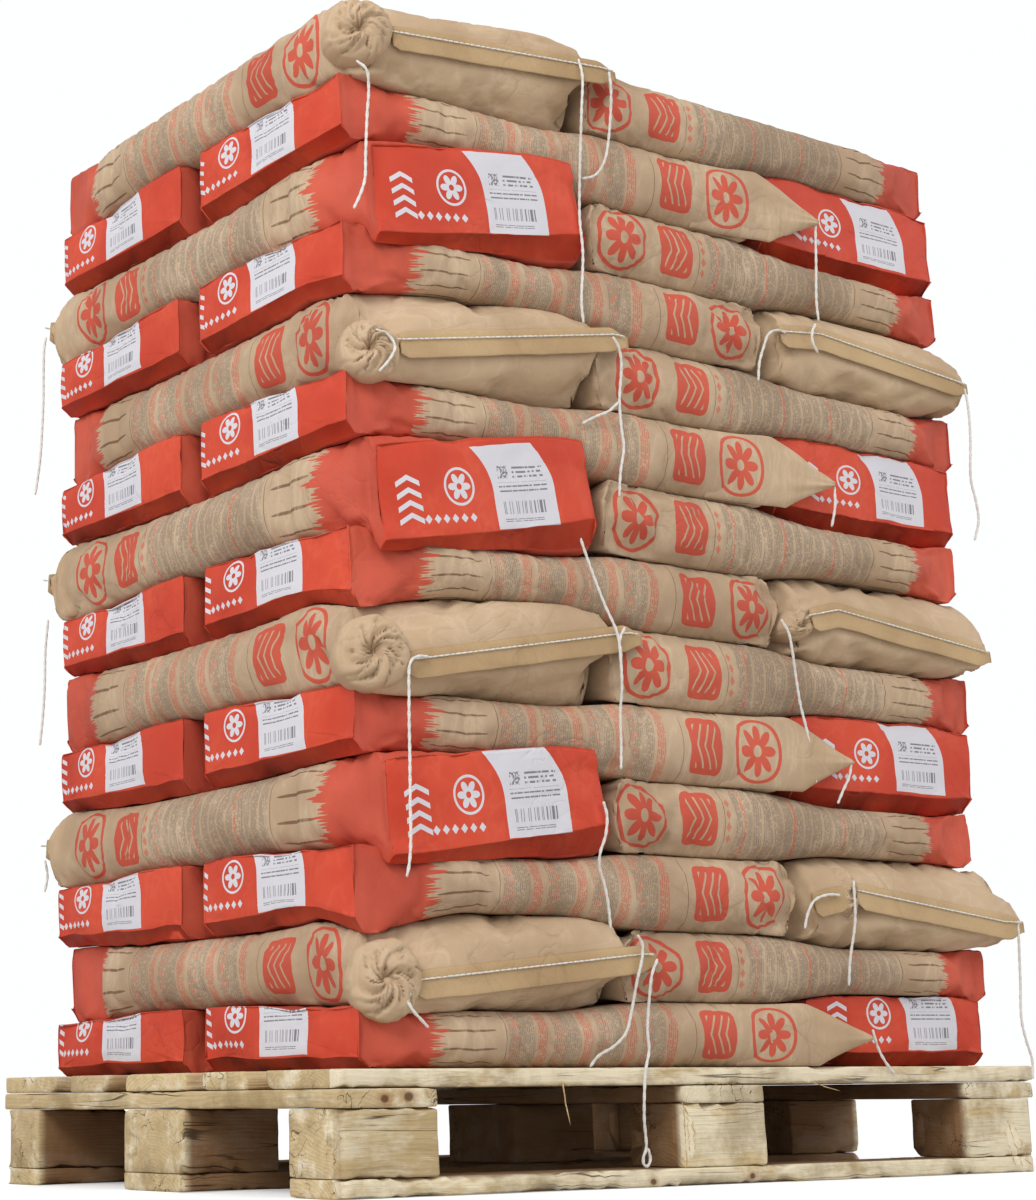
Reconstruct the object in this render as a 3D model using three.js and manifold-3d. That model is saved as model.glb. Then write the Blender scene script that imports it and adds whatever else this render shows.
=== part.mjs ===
// A Europallet with fourteen layers of filled paper sacks, three sacks to a layer.
// Millimetres, +Z up. The origin is the centre of the pallet's underside, X runs along its long
// side and Y along its short side.
import * as THREE from 'three';
import { mergeVertices } from 'three/addons/utils/BufferGeometryUtils.js';
import Module from 'manifold-3d';

const wasm = await Module();
wasm.setup();

// Gap kept between faces that touch.
const GAP = 0.3;

// Pallet.
const PALLET_LENGTH = 1200;
const PALLET_WIDTH = 800;
const BOARD = 22;
const BLOCK_HEIGHT = 78;
const WIDE_BOARD = 145;
const NARROW_BOARD = 100;
const BLOCK_LENGTH = 145;
const BLOCK_CENTRES = [-527.5, 0, 527.5];
const DECK_WIDTHS = [WIDE_BOARD, NARROW_BOARD, WIDE_BOARD, NARROW_BOARD, WIDE_BOARD];
const CORNER_CHAMFER = 14;
const EDGE_CHAMFER = 2;
const SEAM = 1.5;

// Sacks. Each lies in a cell of the layer. Its flat bearing faces end inside the cell, and its
// sides and ends bulge from there.
const LAYER_HEIGHTS = [81, 89, 97, 94, 99, 98, 96, 99, 99, 97, 95, 95, 101, 92];
const BEARING_X = [-525, -410, -295, -180, -125, 5, 135, 190, 305, 420, 535];
const BEARING_Y = [-365, -280, -160, -35, 10, 130, 255, 340];
const SIDE_BULGE = 28;
const RED_END_BULGE = 11;
const SEWN_END_BULGE = 33;
const LENGTH_JOINT = 27.35;
const WIDTH_JOINT = 22.35;
const END_SWELL = 14;
const CROWN = 7;
const RIGHT_REACH = [20, 21, 24, 8, 34, 26, 30, 20, 38, 36, 28, 19, 30, 7];

// Sewn ends: a taped flap hangs from the seam, and its ear stands past the sack.
const FLAP_HEIGHT = 40;
const FLAP_THICKNESS = 9;
const FLAP_ABOVE_MIDDLE = 12;
const FLAP_FRONT = -405;
const FLAP_BACK = 378;
const RIGHT_EARS = { 3: 604, 7: 578, 11: 573 };
const TIP_LENGTH = 135;
const TIP_THICKNESS = 14;

// Loose ends of the chain-stitch thread that hang over other pieces.
const THREAD = 4;
const THREAD_STEP = 3 * THREAD;
const THREAD_ROUTES = {
  thread_14_right: [[-172, -402, 1470], [-171, -407.3, 1446], [-175, -407.3, 1393],
    [-177, -402, 1320], [-179, -399, 1244], [-176, -399, 1196], [-182, -399, 1125],
    [-180, -399, 1098]],
  thread_08_front: [[-190, -386, 812], [-192, -394, 796], [-182, -400, 758], [-167, -402, 722],
    [-153, -408, 684], [-149, -407.3, 650], [-149, -407.3, 617], [-148, -401, 585],
    [-147, -399, 548], [-149, -399, 513]],
  thread_06_left: [[-474, -407.3, 655], [-481, -407.3, 644], [-490, -406, 620], [-493, -402, 571],
    [-495, -399, 500], [-495, -399, 452], [-496, -399, 400], [-500, -400, 376], [-503, -400, 362]],
  thread_02_right: [[-110, -407.3, 276], [-120, -407.3, 258], [-126, -408, 235], [-129, -404, 189],
    [-127, -403, 165], [-135, -404, 141], [-141, -406, 111], [-143, -406, 81], [-141, -406, 45]],
  thread_12_back: [[-553, 380.3, 1232], [-556, 380.3, 1215], [-556, 382, 1185], [-555, 384, 1130],
    [-556, 385, 1089], [-559, 385, 1042], [-566, 386, 988]],
  thread_11_right: [[566, -400.5, 1127.2], [569, -401, 1110], [571, -401, 1090], [570, -401, 1049],
    [564, -401, 987], [571, -401, 958], [574, -401, 928], [562, -401, 896]],
  thread_03_right: [[592, -400.5, 345.5], [590, -401, 325], [586, -401, 262], [582, -401, 207],
    [587, -402, 179], [594, -404, 152], [591, -405, 126]],
};

const DECK_TOP = 3 * BOARD + BLOCK_HEIGHT;
const LAYERS = LAYER_HEIGHTS.length;

const part = new THREE.Group();

function material(color, roughness) {
  return new THREE.MeshStandardMaterial({ color, roughness, metalness: 0 });
}

const wood = () => material(0xb89b6c, 0.9);
const kraft = () => material(0xb79a78, 0.85);
const cotton = () => material(0xe6e2da, 0.9);

function place(name, geometry, look, position = [0, 0, 0]) {
  const mesh = new THREE.Mesh(geometry, look);
  mesh.name = name;
  mesh.position.set(...position);
  part.add(mesh);
  return mesh;
}

function toSolid(geometry) {
  const bare = geometry.clone();
  bare.deleteAttribute('normal');
  bare.deleteAttribute('uv');
  const merged = mergeVertices(bare, 1e-4);
  return new wasm.Manifold(new wasm.Mesh({
    numProp: 3,
    vertProperties: new Float32Array(merged.attributes.position.array),
    triVerts: new Uint32Array(merged.index.array),
  }));
}

function toGeometry(solid) {
  const mesh = solid.getMesh();
  const geometry = new THREE.BufferGeometry();
  geometry.setAttribute('position', new THREE.BufferAttribute(mesh.vertProperties, 3));
  geometry.setIndex(new THREE.BufferAttribute(mesh.triVerts, 1));
  geometry.computeVertexNormals();
  return geometry;
}

// Board of the given size with its long edges chamfered, centred on the origin, along X.
function boardAlongX(length, width, height) {
  const w = width / 2;
  const h = height / 2;
  const c = EDGE_CHAMFER;
  const section = new THREE.Shape([
    new THREE.Vector2(-w + c, -h), new THREE.Vector2(w - c, -h),
    new THREE.Vector2(w, -h + c), new THREE.Vector2(w, h - c),
    new THREE.Vector2(w - c, h), new THREE.Vector2(-w + c, h),
    new THREE.Vector2(-w, h - c), new THREE.Vector2(-w, -h + c),
  ]);
  const geometry = new THREE.ExtrudeGeometry(section, { depth: length, bevelEnabled: false });
  geometry.translate(0, 0, -length / 2);
  // The section's width turns to Y, its height to Z and its depth to X.
  geometry.applyMatrix4(new THREE.Matrix4().set(0, 0, 1, 0, 1, 0, 0, 0, 0, 1, 0, 0, 0, 0, 0, 1));
  return geometry;
}

// Deck boards, evenly spread over the width, with the gaps that are left.
const deckGap = (PALLET_WIDTH - DECK_WIDTHS.reduce((a, b) => a + b)) / (DECK_WIDTHS.length - 1);
let deckEdge = -PALLET_WIDTH / 2;
DECK_WIDTHS.forEach((width, i) => {
  const board = boardAlongX(PALLET_LENGTH - 2 * (i % 3), width, BOARD - GAP);
  place(`deck_board_${i + 1}`, board, wood(), [0, deckEdge + width / 2, DECK_TOP - (BOARD - GAP) / 2]);
  deckEdge += width + deckGap;
});

// Three stringers across, one over each row of blocks.
BLOCK_CENTRES.forEach((x, i) => {
  const board = boardAlongX(PALLET_WIDTH - 2 * i, BLOCK_LENGTH, BOARD - GAP);
  board.rotateZ(Math.PI / 2);
  place(`stringer_${i + 1}`, board, wood(), [x, 0, DECK_TOP - BOARD - (BOARD + GAP) / 2]);
});

// Three runners: a bottom board with its three blocks, and a fine notch where they meet.
function runner(width) {
  const top = BOARD + BLOCK_HEIGHT - GAP;
  const half = PALLET_LENGTH / 2;
  const outline = [[-half, 0], [half, 0], [half, BOARD - SEAM], [half - SEAM, BOARD], [half, BOARD + SEAM]];
  [...BLOCK_CENTRES].reverse().forEach((centre, i) => {
    const right = centre + BLOCK_LENGTH / 2;
    const left = centre - BLOCK_LENGTH / 2;
    if (i > 0) outline.push([right, BOARD]);
    outline.push([right, top], [left, top]);
    if (i < 2) outline.push([left, BOARD]);
  });
  outline.push([-half, BOARD + SEAM], [-half + SEAM, BOARD], [-half, BOARD - SEAM]);
  const side = new THREE.Shape(outline.map(([x, z]) => new THREE.Vector2(x, z)));
  const geometry = new THREE.ExtrudeGeometry(side, { depth: width, bevelEnabled: false });
  geometry.translate(0, 0, -width / 2);
  geometry.rotateX(Math.PI / 2);
  return geometry;
}

function cornerCut(x, y) {
  const size = CORNER_CHAMFER * Math.SQRT2;
  const box = new THREE.BoxGeometry(size, size, 3 * BLOCK_HEIGHT);
  box.rotateZ(Math.PI / 4);
  box.translate(x, y, BLOCK_HEIGHT);
  return toSolid(box);
}

[['front', -1, NARROW_BOARD], ['middle', 0, WIDE_BOARD], ['back', 1, NARROW_BOARD]]
  .forEach(([name, side, width]) => {
    const y = side * (PALLET_WIDTH - width) / 2;
    let solid = toSolid(runner(width)).translate([0, y, 0]);
    if (side !== 0) {
      [-1, 1].forEach((end) => {
        solid = solid.subtract(cornerCut(end * PALLET_LENGTH / 2, side * PALLET_WIDTH / 2));
      });
    }
    place(`runner_${name}`, toGeometry(solid), wood());
  });

// Smooth step from 0 at a to 1 at b.
function rise(a, b, x) {
  const t = Math.min(1, Math.max(0, (x - a) / (b - a)));
  return t * t * (3 - 2 * t);
}

const CROSS_LEFT = (BEARING_X[0] + BEARING_X[3]) / 2;
const CROSS_RIGHT = (BEARING_X[7] + BEARING_X[10]) / 2;
const swellAt = (x, centre) => 1 - rise(90, 260, Math.abs(x - centre));

// Height of the seat on top of the first k layers. The ends of a crosswise sack are thicker than
// its middle, so the seat over them is higher and the seat under them is lower.
function seat(k, x, y) {
  if (k === 0) return DECK_TOP;
  const level = LAYER_HEIGHTS.slice(0, k).reduce((a, b) => a + b, DECK_TOP);
  const edge = rise(120, 330, Math.abs(y));
  const over = k % 2 ? CROSS_RIGHT : CROSS_LEFT;
  const under = k % 2 ? CROSS_LEFT : CROSS_RIGHT;
  if (k === LAYERS) return level + END_SWELL * edge * swellAt(x, over) + CROWN * (1 - edge);
  return level + END_SWELL * edge * (swellAt(x, over) - swellAt(x, under));
}

// How far a side stands out of the bearing face's edge, at height f of 1, for a reach of 1.
const PROFILE = {
  side: (f) => Math.sqrt(1 - (2 * f - 1) ** 2),
  red: (f) => (1 - (2 * f - 1) ** 6) ** 0.5,
  sewn: (f) => 1 - Math.abs(f - 0.55) * 1.15,
};
const RING_HEIGHTS = [0.18, 0.5, 0.82];

// A sack over the bearing lines xs and ys in the given layer. Each wall has a kind and a reach, in
// the order -Y, +X, +Y, -X.
function sackBody(layer, xs, ys, walls) {
  const at = [];
  const index = [];
  const nx = xs.length;
  const ny = ys.length;
  const bottom = (i, j) => i * ny + j;
  const top = (i, j) => nx * ny + bottom(i, j);
  [layer - 1, layer].forEach((k, face) => {
    xs.forEach((x) => ys.forEach((y) => {
      at.push([x, y, seat(k, x, y) + (face ? -GAP / 2 : GAP / 2)]);
    }));
  });
  for (let i = 0; i < nx - 1; i += 1) {
    for (let j = 0; j < ny - 1; j += 1) {
      const quad = [[i, j], [i + 1, j], [i + 1, j + 1], [i, j + 1]];
      const [a, b, c, d] = quad.map(([p, q]) => bottom(p, q));
      const [e, f, g, h] = quad.map(([p, q]) => top(p, q));
      index.push(a, c, b, a, d, c, e, f, g, e, g, h);
    }
  }
  // The rim, counter-clockwise from above, with the wall or the two walls that each point is on.
  const rim = [];
  for (let i = 0; i < nx; i += 1) rim.push([i, 0, i === 0 ? [3, 0] : i === nx - 1 ? [0, 1] : [0]]);
  for (let j = 1; j < ny; j += 1) rim.push([nx - 1, j, j === ny - 1 ? [1, 2] : [1]]);
  for (let i = nx - 2; i >= 0; i -= 1) rim.push([i, ny - 1, i === 0 ? [2, 3] : [2]]);
  for (let j = ny - 2; j > 0; j -= 1) rim.push([0, j, [3]]);
  const outward = [[0, -1], [1, 0], [0, 1], [-1, 0]];
  const rings = [rim.map(([i, j]) => bottom(i, j))];
  RING_HEIGHTS.forEach((f) => {
    rings.push(rim.map(([i, j, on]) => {
      const low = at[bottom(i, j)];
      const high = at[top(i, j)];
      const share = on.length === 2 ? 0.8 : 1;
      let [x, y] = low;
      on.forEach((w) => {
        const reach = walls[w].reach * PROFILE[walls[w].kind](f) * share;
        x += outward[w][0] * reach;
        y += outward[w][1] * reach;
      });
      at.push([x, y, low[2] + f * (high[2] - low[2])]);
      return at.length - 1;
    }));
  });
  rings.push(rim.map(([i, j]) => top(i, j)));
  for (let r = 0; r < rings.length - 1; r += 1) {
    rim.forEach((_, n) => {
      const m = (n + 1) % rim.length;
      index.push(rings[r][n], rings[r][m], rings[r + 1][m]);
      index.push(rings[r][n], rings[r + 1][m], rings[r + 1][n]);
    });
  }
  const geometry = new THREE.BufferGeometry();
  geometry.setAttribute('position', new THREE.Float32BufferAttribute(at.flat(), 3));
  geometry.setIndex(index);
  geometry.computeVertexNormals();
  return geometry;
}

// The flap of a sewn end, from x0 to x1, with its back at y and its seam at height z. Its two ears
// are cut at a slant.
function flap(x0, x1, y, z) {
  const low = z - FLAP_HEIGHT;
  const outline = new THREE.Shape([
    new THREE.Vector2(x0, low + 14), new THREE.Vector2(x0 + 16, low), new THREE.Vector2(x1 - 30, low),
    new THREE.Vector2(x1, low + 22), new THREE.Vector2(x1 - 4, z - 4), new THREE.Vector2(x0 + 6, z),
  ]);
  const geometry = new THREE.ExtrudeGeometry(outline, { depth: FLAP_THICKNESS, bevelEnabled: false });
  geometry.rotateX(Math.PI / 2);
  geometry.translate(0, y + FLAP_THICKNESS, 0);
  return geometry;
}

// The pointed corner of a sewn end that lies along the outside of the stack, in front of the
// crosswise sack's end.
function tip(x, y, low, high) {
  const middle = (low + high) / 2;
  const outline = new THREE.Shape([
    new THREE.Vector2(x - 30, low + 14), new THREE.Vector2(x + 60, low + 14),
    new THREE.Vector2(x + TIP_LENGTH, middle - 2), new THREE.Vector2(x + TIP_LENGTH, middle + 6),
    new THREE.Vector2(x + 45, high - 12), new THREE.Vector2(x - 30, high - 14),
  ]);
  const geometry = new THREE.ExtrudeGeometry(outline, { depth: TIP_THICKNESS, bevelEnabled: false });
  geometry.rotateX(Math.PI / 2);
  geometry.translate(0, y + TIP_THICKNESS, 0);
  return geometry;
}

// The sacks. In an odd layer, two lie along the pallet from its -X end and one lies crosswise at the
// +X end; an even layer is the other way round. Red ends face out at the pallet's ends.
const RED_END_IN_FRONT = [1, 4, 5, 8, 9, 12, 13];
for (let layer = 1; layer <= LAYERS; layer += 1) {
  const name = `sack_${String(layer).padStart(2, '0')}`;
  const odd = layer % 2 === 1;
  const redFront = RED_END_IN_FRONT.includes(layer);
  const rightReach = RIGHT_REACH[layer - 1];
  const unevenness = 3 * Math.sin(2.4 * layer);

  const crossX = odd ? BEARING_X.slice(7) : BEARING_X.slice(0, 4);
  const front = redFront ? { kind: 'red', reach: RED_END_BULGE - unevenness } : { kind: 'sewn', reach: SEWN_END_BULGE };
  const back = redFront ? { kind: 'sewn', reach: SEWN_END_BULGE } : { kind: 'red', reach: RED_END_BULGE + unevenness };
  const outerSide = { kind: 'side', reach: SIDE_BULGE - 4 + unevenness };
  const innerSide = { kind: 'side', reach: LENGTH_JOINT };
  const rightSide = { kind: 'side', reach: rightReach };
  const cross = sackBody(layer, crossX, BEARING_Y, [front, odd ? rightSide : innerSide, back, odd ? innerSide : outerSide]);
  const crossMiddle = (DECK_TOP + LAYER_HEIGHTS.slice(0, layer).reduce((a, b) => a + b))
    - LAYER_HEIGHTS[layer - 1] / 2;
  const seamHeight = crossMiddle + FLAP_ABOVE_MIDDLE;
  const flapFront = odd ? [262, RIGHT_EARS[layer]] : [-478, -102];
  const flapBack = odd ? [200, 548] : [-558, -170];
  const flapSolid = redFront
    ? flap(...flapBack, FLAP_BACK - FLAP_THICKNESS, seamHeight)
    : flap(...flapFront, FLAP_FRONT, seamHeight);
  place(`${name}_cross`, toGeometry(toSolid(cross).add(toSolid(flapSolid))), kraft());

  const lengthX = odd ? BEARING_X.slice(0, 7) : BEARING_X.slice(4);
  const redEnd = { kind: 'red', reach: odd ? 22 + unevenness : rightReach };
  const sewnEnd = { kind: 'sewn', reach: LENGTH_JOINT };
  const ends = odd ? { right: sewnEnd, left: redEnd } : { right: redEnd, left: sewnEnd };
  const outer = { kind: 'side', reach: SIDE_BULGE + unevenness / 2 };
  const inner = { kind: 'side', reach: WIDTH_JOINT };
  const near = sackBody(layer, lengthX, BEARING_Y.slice(0, 4), [outer, ends.right, inner, ends.left]);
  const far = sackBody(layer, lengthX, BEARING_Y.slice(4), [inner, ends.right, outer, ends.left]);
  let nearSolid = toSolid(near);
  if (odd && redFront) {
    const x = BEARING_X[6];
    const y = BEARING_Y[0];
    nearSolid = nearSolid.add(toSolid(tip(x, y - SIDE_BULGE - 4, seat(layer - 1, x, y), seat(layer, x, y))));
  }
  place(`${name}_front`, toGeometry(nearSolid), kraft());
  place(`${name}_back`, far, kraft());
}

// The threads: round section, swept along a smooth curve through each route.
const threadSection = new THREE.Shape();
threadSection.absarc(0, 0, THREAD / 2, 0, 2 * Math.PI);
Object.entries(THREAD_ROUTES).forEach(([name, points]) => {
  const path = new THREE.CatmullRomCurve3(points.map((p) => new THREE.Vector3(...p)));
  const steps = Math.round(path.getLength() / THREAD_STEP);
  const tube = new THREE.ExtrudeGeometry(threadSection, {
    steps, curveSegments: 4, bevelEnabled: false, extrudePath: path,
  });
  place(name, tube, cotton());
});

export default part;
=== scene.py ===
import math
from itertools import product

import bpy
import numpy as np
from mathutils import Matrix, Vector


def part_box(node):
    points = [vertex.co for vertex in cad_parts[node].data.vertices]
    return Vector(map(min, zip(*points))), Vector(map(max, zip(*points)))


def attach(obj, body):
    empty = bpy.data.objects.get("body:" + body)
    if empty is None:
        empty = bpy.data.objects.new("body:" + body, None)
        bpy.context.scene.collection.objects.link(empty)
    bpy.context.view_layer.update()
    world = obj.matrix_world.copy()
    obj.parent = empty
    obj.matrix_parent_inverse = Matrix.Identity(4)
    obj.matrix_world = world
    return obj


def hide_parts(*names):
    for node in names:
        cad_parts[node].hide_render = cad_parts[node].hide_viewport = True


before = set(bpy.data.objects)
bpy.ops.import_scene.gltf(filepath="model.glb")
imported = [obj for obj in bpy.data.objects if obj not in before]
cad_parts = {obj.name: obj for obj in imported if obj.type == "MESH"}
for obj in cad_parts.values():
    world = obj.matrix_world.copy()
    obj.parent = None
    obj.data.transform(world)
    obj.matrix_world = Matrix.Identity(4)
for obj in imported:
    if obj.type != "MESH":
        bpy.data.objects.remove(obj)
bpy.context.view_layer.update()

# The camera stands low in front of the stack's near corner and looks a little upwards. Its frame is
# shifted, because the photograph shows the object right of the lens axis.
EYE = (-2.1784, -2.6071, 0.1144)
YAW, PITCH, ROLL = (math.radians(a) for a in (33.826, 12.268, -0.675))
PHOTO_WIDTH, PHOTO_HEIGHT = 1036.0, 1200.0
FOCAL_PIXELS = 2361.0
AXIS_PIXEL = (257.2, 583.0)


def in_scene(name, data):
    """A new object that shows the data."""
    made = bpy.data.objects.new(name, data)
    bpy.context.scene.collection.objects.link(made)
    return made


def placed(x_axis, y_axis, z_axis, place):
    return Matrix([(x_axis[i], y_axis[i], z_axis[i], place[i]) for i in range(3)] + [(0, 0, 0, 1)])


ahead = np.array([math.sin(YAW) * math.cos(PITCH), math.cos(YAW) * math.cos(PITCH), math.sin(PITCH)])
level_right = np.array([math.cos(YAW), -math.sin(YAW), 0.0])
level_up = np.cross(level_right, ahead)
right = math.cos(ROLL) * level_right + math.sin(ROLL) * level_up
up = -math.sin(ROLL) * level_right + math.cos(ROLL) * level_up
lens = bpy.data.cameras.new("camera")
lens.sensor_width = 36.0
lens.lens = FOCAL_PIXELS / PHOTO_HEIGHT * lens.sensor_width
lens.shift_x = (PHOTO_WIDTH / 2 - AXIS_PIXEL[0]) / PHOTO_HEIGHT
lens.shift_y = (AXIS_PIXEL[1] - PHOTO_HEIGHT / 2) / PHOTO_HEIGHT
lens.clip_end = 200.0
camera = in_scene("camera", lens)
camera.matrix_world = placed(right, up, -ahead, EYE)
bpy.context.scene.camera = camera

# Loose ends of the chain-stitch thread: white two-ply cotton that hangs from the sewn sack ends.
# Seven of them are solids of the part, the others are short and lie on the sacks. Points in mm.
THREAD = 0.004
PLY_TURN = 0.013
THREAD_SIDES = 10
SOLID_THREADS = {
    "thread_14_right": [(-172, -402, 1470), (-171, -407.3, 1446), (-175, -407.3, 1393),
        (-177, -402, 1320), (-179, -399, 1244), (-176, -399, 1196), (-182, -399, 1125),
        (-180, -399, 1098)],
    "thread_08_front": [(-190, -386, 812), (-192, -394, 796), (-182, -400, 758), (-167, -402, 722),
        (-153, -408, 684), (-149, -407.3, 650), (-149, -407.3, 617), (-148, -401, 585),
        (-147, -399, 548), (-149, -399, 513)],
    "thread_06_left": [(-458, -406.5, 627), (-474, -409, 626), (-490, -413, 617), (-493, -412, 571),
        (-494, -412, 500), (-495, -412, 452), (-496, -412, 400), (-499, -412, 376), (-503, -412, 362)],
    "thread_02_right": [(-110, -407.3, 276), (-120, -407.3, 258), (-126, -408, 235), (-129, -404, 189),
        (-127, -403, 165), (-135, -404, 141), (-141, -406, 111), (-143, -406, 81), (-142, -406, 47),
        (-147, -406, 37), (-146, -405, 28), (-140, -405, 26), (-136, -406, 34), (-141, -408, 47)],
    "thread_12_back": [(-553, 380.3, 1232), (-556, 380.3, 1215), (-556, 382, 1185), (-555, 384, 1130),
        (-556, 385, 1089), (-559, 385, 1042), (-566, 386, 988)],
    "thread_11_right": [(566, -400.5, 1127.2), (569, -401, 1110), (571, -401, 1090), (570, -401, 1049),
        (564, -401, 987), (571, -401, 958), (574, -401, 928), (562, -401, 896)],
    "thread_03_right": [(592, -400.5, 345.5), (590, -401, 325), (586, -401, 262), (582, -401, 207),
        (587, -402, 179), (594, -404, 152), (591, -405, 126)],
}
SHORT_THREADS = {
    "thread_14_left": [(-541, -400, 1378), (-531, -407, 1366), (-525, -403, 1344), (-526, -400, 1311),
        (-529, -399, 1257), (-531, -399, 1224), (-538, -399, 1203), (-549, -399, 1181)],
    "thread_14_loop": [(-122, -407, 1462), (-120, -407, 1434), (-124, -401, 1361), (-132, -399, 1331),
        (-149, -399, 1310), (-173, -399, 1300)],
    "thread_10_right": [(-138, -408, 1084), (-129, -408, 1072), (-124, -407, 1053), (-125, -401, 998),
        (-122, -400, 958), (-120, -400, 938), (-127, -399, 903), (-131, -399, 870)],
    "thread_10_branch": [(-127, -401, 998), (-143, -400, 984), (-166, -399, 973), (-190, -399, 960)],
    "thread_10_left": [(-523, -404, 1028), (-508, -409, 1022), (-500, -411, 1008), (-509, -411, 990),
        (-522, -407, 974)],
    "thread_06_right": [(-140, -408, 695), (-150, -408, 677), (-147, -407, 655)],
    "thread_04_right": [(-182, -400, 470), (-177, -400, 452), (-182, -401, 427), (-192, -401, 405),
        (-194, -401, 388), (-187, -400, 369), (-182, -400, 347), (-180, -400, 328), (-178, -399, 312)],
    "thread_02_branch": [(-142, -408, 305), (-135, -408, 294), (-136, -408, 278), (-146, -407, 247),
        (-152, -402, 213), (-161, -400, 186), (-180, -399, 170), (-208, -399, 157), (-220, -398, 145)],
    "thread_02_left": [(-497, -407, 232), (-503, -409, 220), (-497, -411, 208), (-486, -410, 199),
        (-474, -408, 190)],
    "thread_11_left": [(191, -404, 1148), (172, -405, 1148), (157, -404, 1140), (147, -403, 1120),
        (140, -400, 1097), (138, -398, 1071)],
    "thread_11_knot": [(249, -407, 1170), (238, -410, 1155), (238, -410, 1140), (249, -408, 1127)],
    "thread_13_tip": [(270, -400, 1324), (267, -401, 1297), (266, -400, 1264), (264, -398, 1207),
        (266, -398, 1180)],
    "thread_09_tip": [(274, -400, 938), (270, -402, 908), (263, -400, 879)],
    "thread_07_left": [(150, -402, 736), (161, -404, 718), (167, -403, 694), (175, -400, 653),
        (181, -399, 620), (190, -399, 587), (194, -399, 555), (196, -398, 535), (203, -398, 518)],
    "thread_05_tip": [(272, -400, 552), (264, -402, 531), (250, -401, 509), (241, -399, 492)],
    "thread_03_left": [(227, -405, 368), (200, -407, 367), (178, -405, 359), (168, -402, 343),
        (163, -399, 322)],
    "thread_03_knot": [(252, -408, 388), (250, -408, 335), (244, -400, 282), (241, -398, 249)],
    "thread_01_tip": [(280, -399, 192), (287, -400, 168), (297, -402, 150), (311, -404, 134)],
    "thread_08_back": [(-544, 384, 801), (-547, 386, 756), (-548, 386, 697), (-551, 386, 652),
        (-555, 386, 615)],
    "thread_04_back": [(-546, 384, 449), (-541, 386, 427), (-545, 386, 404)],
}


def centripetal(points, step=0.0022):
    """A smooth line through the points in mm, returned in metres at even steps."""
    p = np.array(points, float) / 1000.0
    p = np.vstack([2 * p[0] - p[1], p, 2 * p[-1] - p[-2]])
    line = []
    for a, b, c, d in zip(p, p[1:], p[2:], p[3:]):
        t1 = np.linalg.norm(b - a) ** 0.5
        t2 = t1 + np.linalg.norm(c - b) ** 0.5
        t3 = t2 + np.linalg.norm(d - c) ** 0.5
        t = np.linspace(t1, t2, 40, endpoint=False)[:, None]
        ab, bc, cd = ((t1 - t) * a + t * b) / t1, ((t2 - t) * b + (t - t1) * c) / (t2 - t1), \
            ((t3 - t) * c + (t - t2) * d) / (t3 - t2)
        abc, bcd = ((t2 - t) * ab + t * bc) / t2, ((t3 - t) * bc + (t - t1) * cd) / (t3 - t1)
        line.append(((t2 - t) * abc + (t - t1) * bcd) / (t2 - t1))
    line = np.vstack([*line, p[-2:-1]])
    run = np.concatenate([[0], np.cumsum(np.linalg.norm(np.diff(line, axis=0), axis=1))])
    at = np.linspace(0, run[-1], max(12, int(run[-1] / step)) + 1)
    return np.column_stack([np.interp(at, run, line[:, i]) for i in range(3)]), run[-1]


def new_piece(name, verts, faces, materials, uv=None, index=None):
    """A smooth mesh object at the origin. uv has a pair for each corner of each face."""
    mesh = bpy.data.meshes.new(name)
    mesh.from_pydata([tuple(v) for v in np.asarray(verts, float)], [], [tuple(f) for f in faces])
    for material in materials:
        mesh.materials.append(material)
    if uv is not None:
        mesh.uv_layers.new(name="label").data.foreach_set("uv", np.asarray(uv, np.float32).ravel())
    if index is not None:
        mesh.polygons.foreach_set("material_index", np.asarray(index, np.int32))
    mesh.polygons.foreach_set("use_smooth", np.full(len(mesh.polygons), True))
    mesh.validate()
    return in_scene(name, mesh)


def twisted_thread(name, points, around=THREAD_SIDES):
    """A two-ply thread along the line: an eight-shaped section that turns once in PLY_TURN."""
    line, length = centripetal(points)
    ahead_of = np.gradient(line, axis=0)
    ahead_of /= np.linalg.norm(ahead_of, axis=1)[:, None]
    side = np.cross(ahead_of[0], (0.3, 0.5, 0.8))
    verts = []
    for i, (point, along) in enumerate(zip(line, ahead_of)):
        side = side - along * side.dot(along)
        side /= np.linalg.norm(side)
        other = np.cross(along, side)
        run = length * i / (len(line) - 1)
        end = min(run, length - run)
        taper = min(1.0, 0.55 + end / 0.006)
        for j in range(around):
            a = 2 * math.pi * j / around
            plies = abs(math.cos(a - math.pi * run / PLY_TURN))
            radius = THREAD / 2 * taper * (0.66 + 0.36 * plies)
            verts.append(point + radius * (math.cos(a) * side + math.sin(a) * other))
    count = len(line)
    faces, uv = [], []
    for i in range(count - 1):
        for j in range(around):
            k = (j + 1) % around
            faces.append((i * around + j, i * around + k, (i + 1) * around + k, (i + 1) * around + j))
            u0, u1 = length * i / (count - 1), length * (i + 1) / (count - 1)
            uv += [(u0, j / around), (u0, (j + 1) / around), (u1, (j + 1) / around), (u1, j / around)]
    faces.append(tuple(range(around))[::-1])
    faces.append(tuple((count - 1) * around + j for j in range(around)))
    uv += [(0, 0)] * around + [(length, 0)] * around
    piece = new_piece(name, verts, faces, [cotton], uv)
    return piece, line, length


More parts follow.
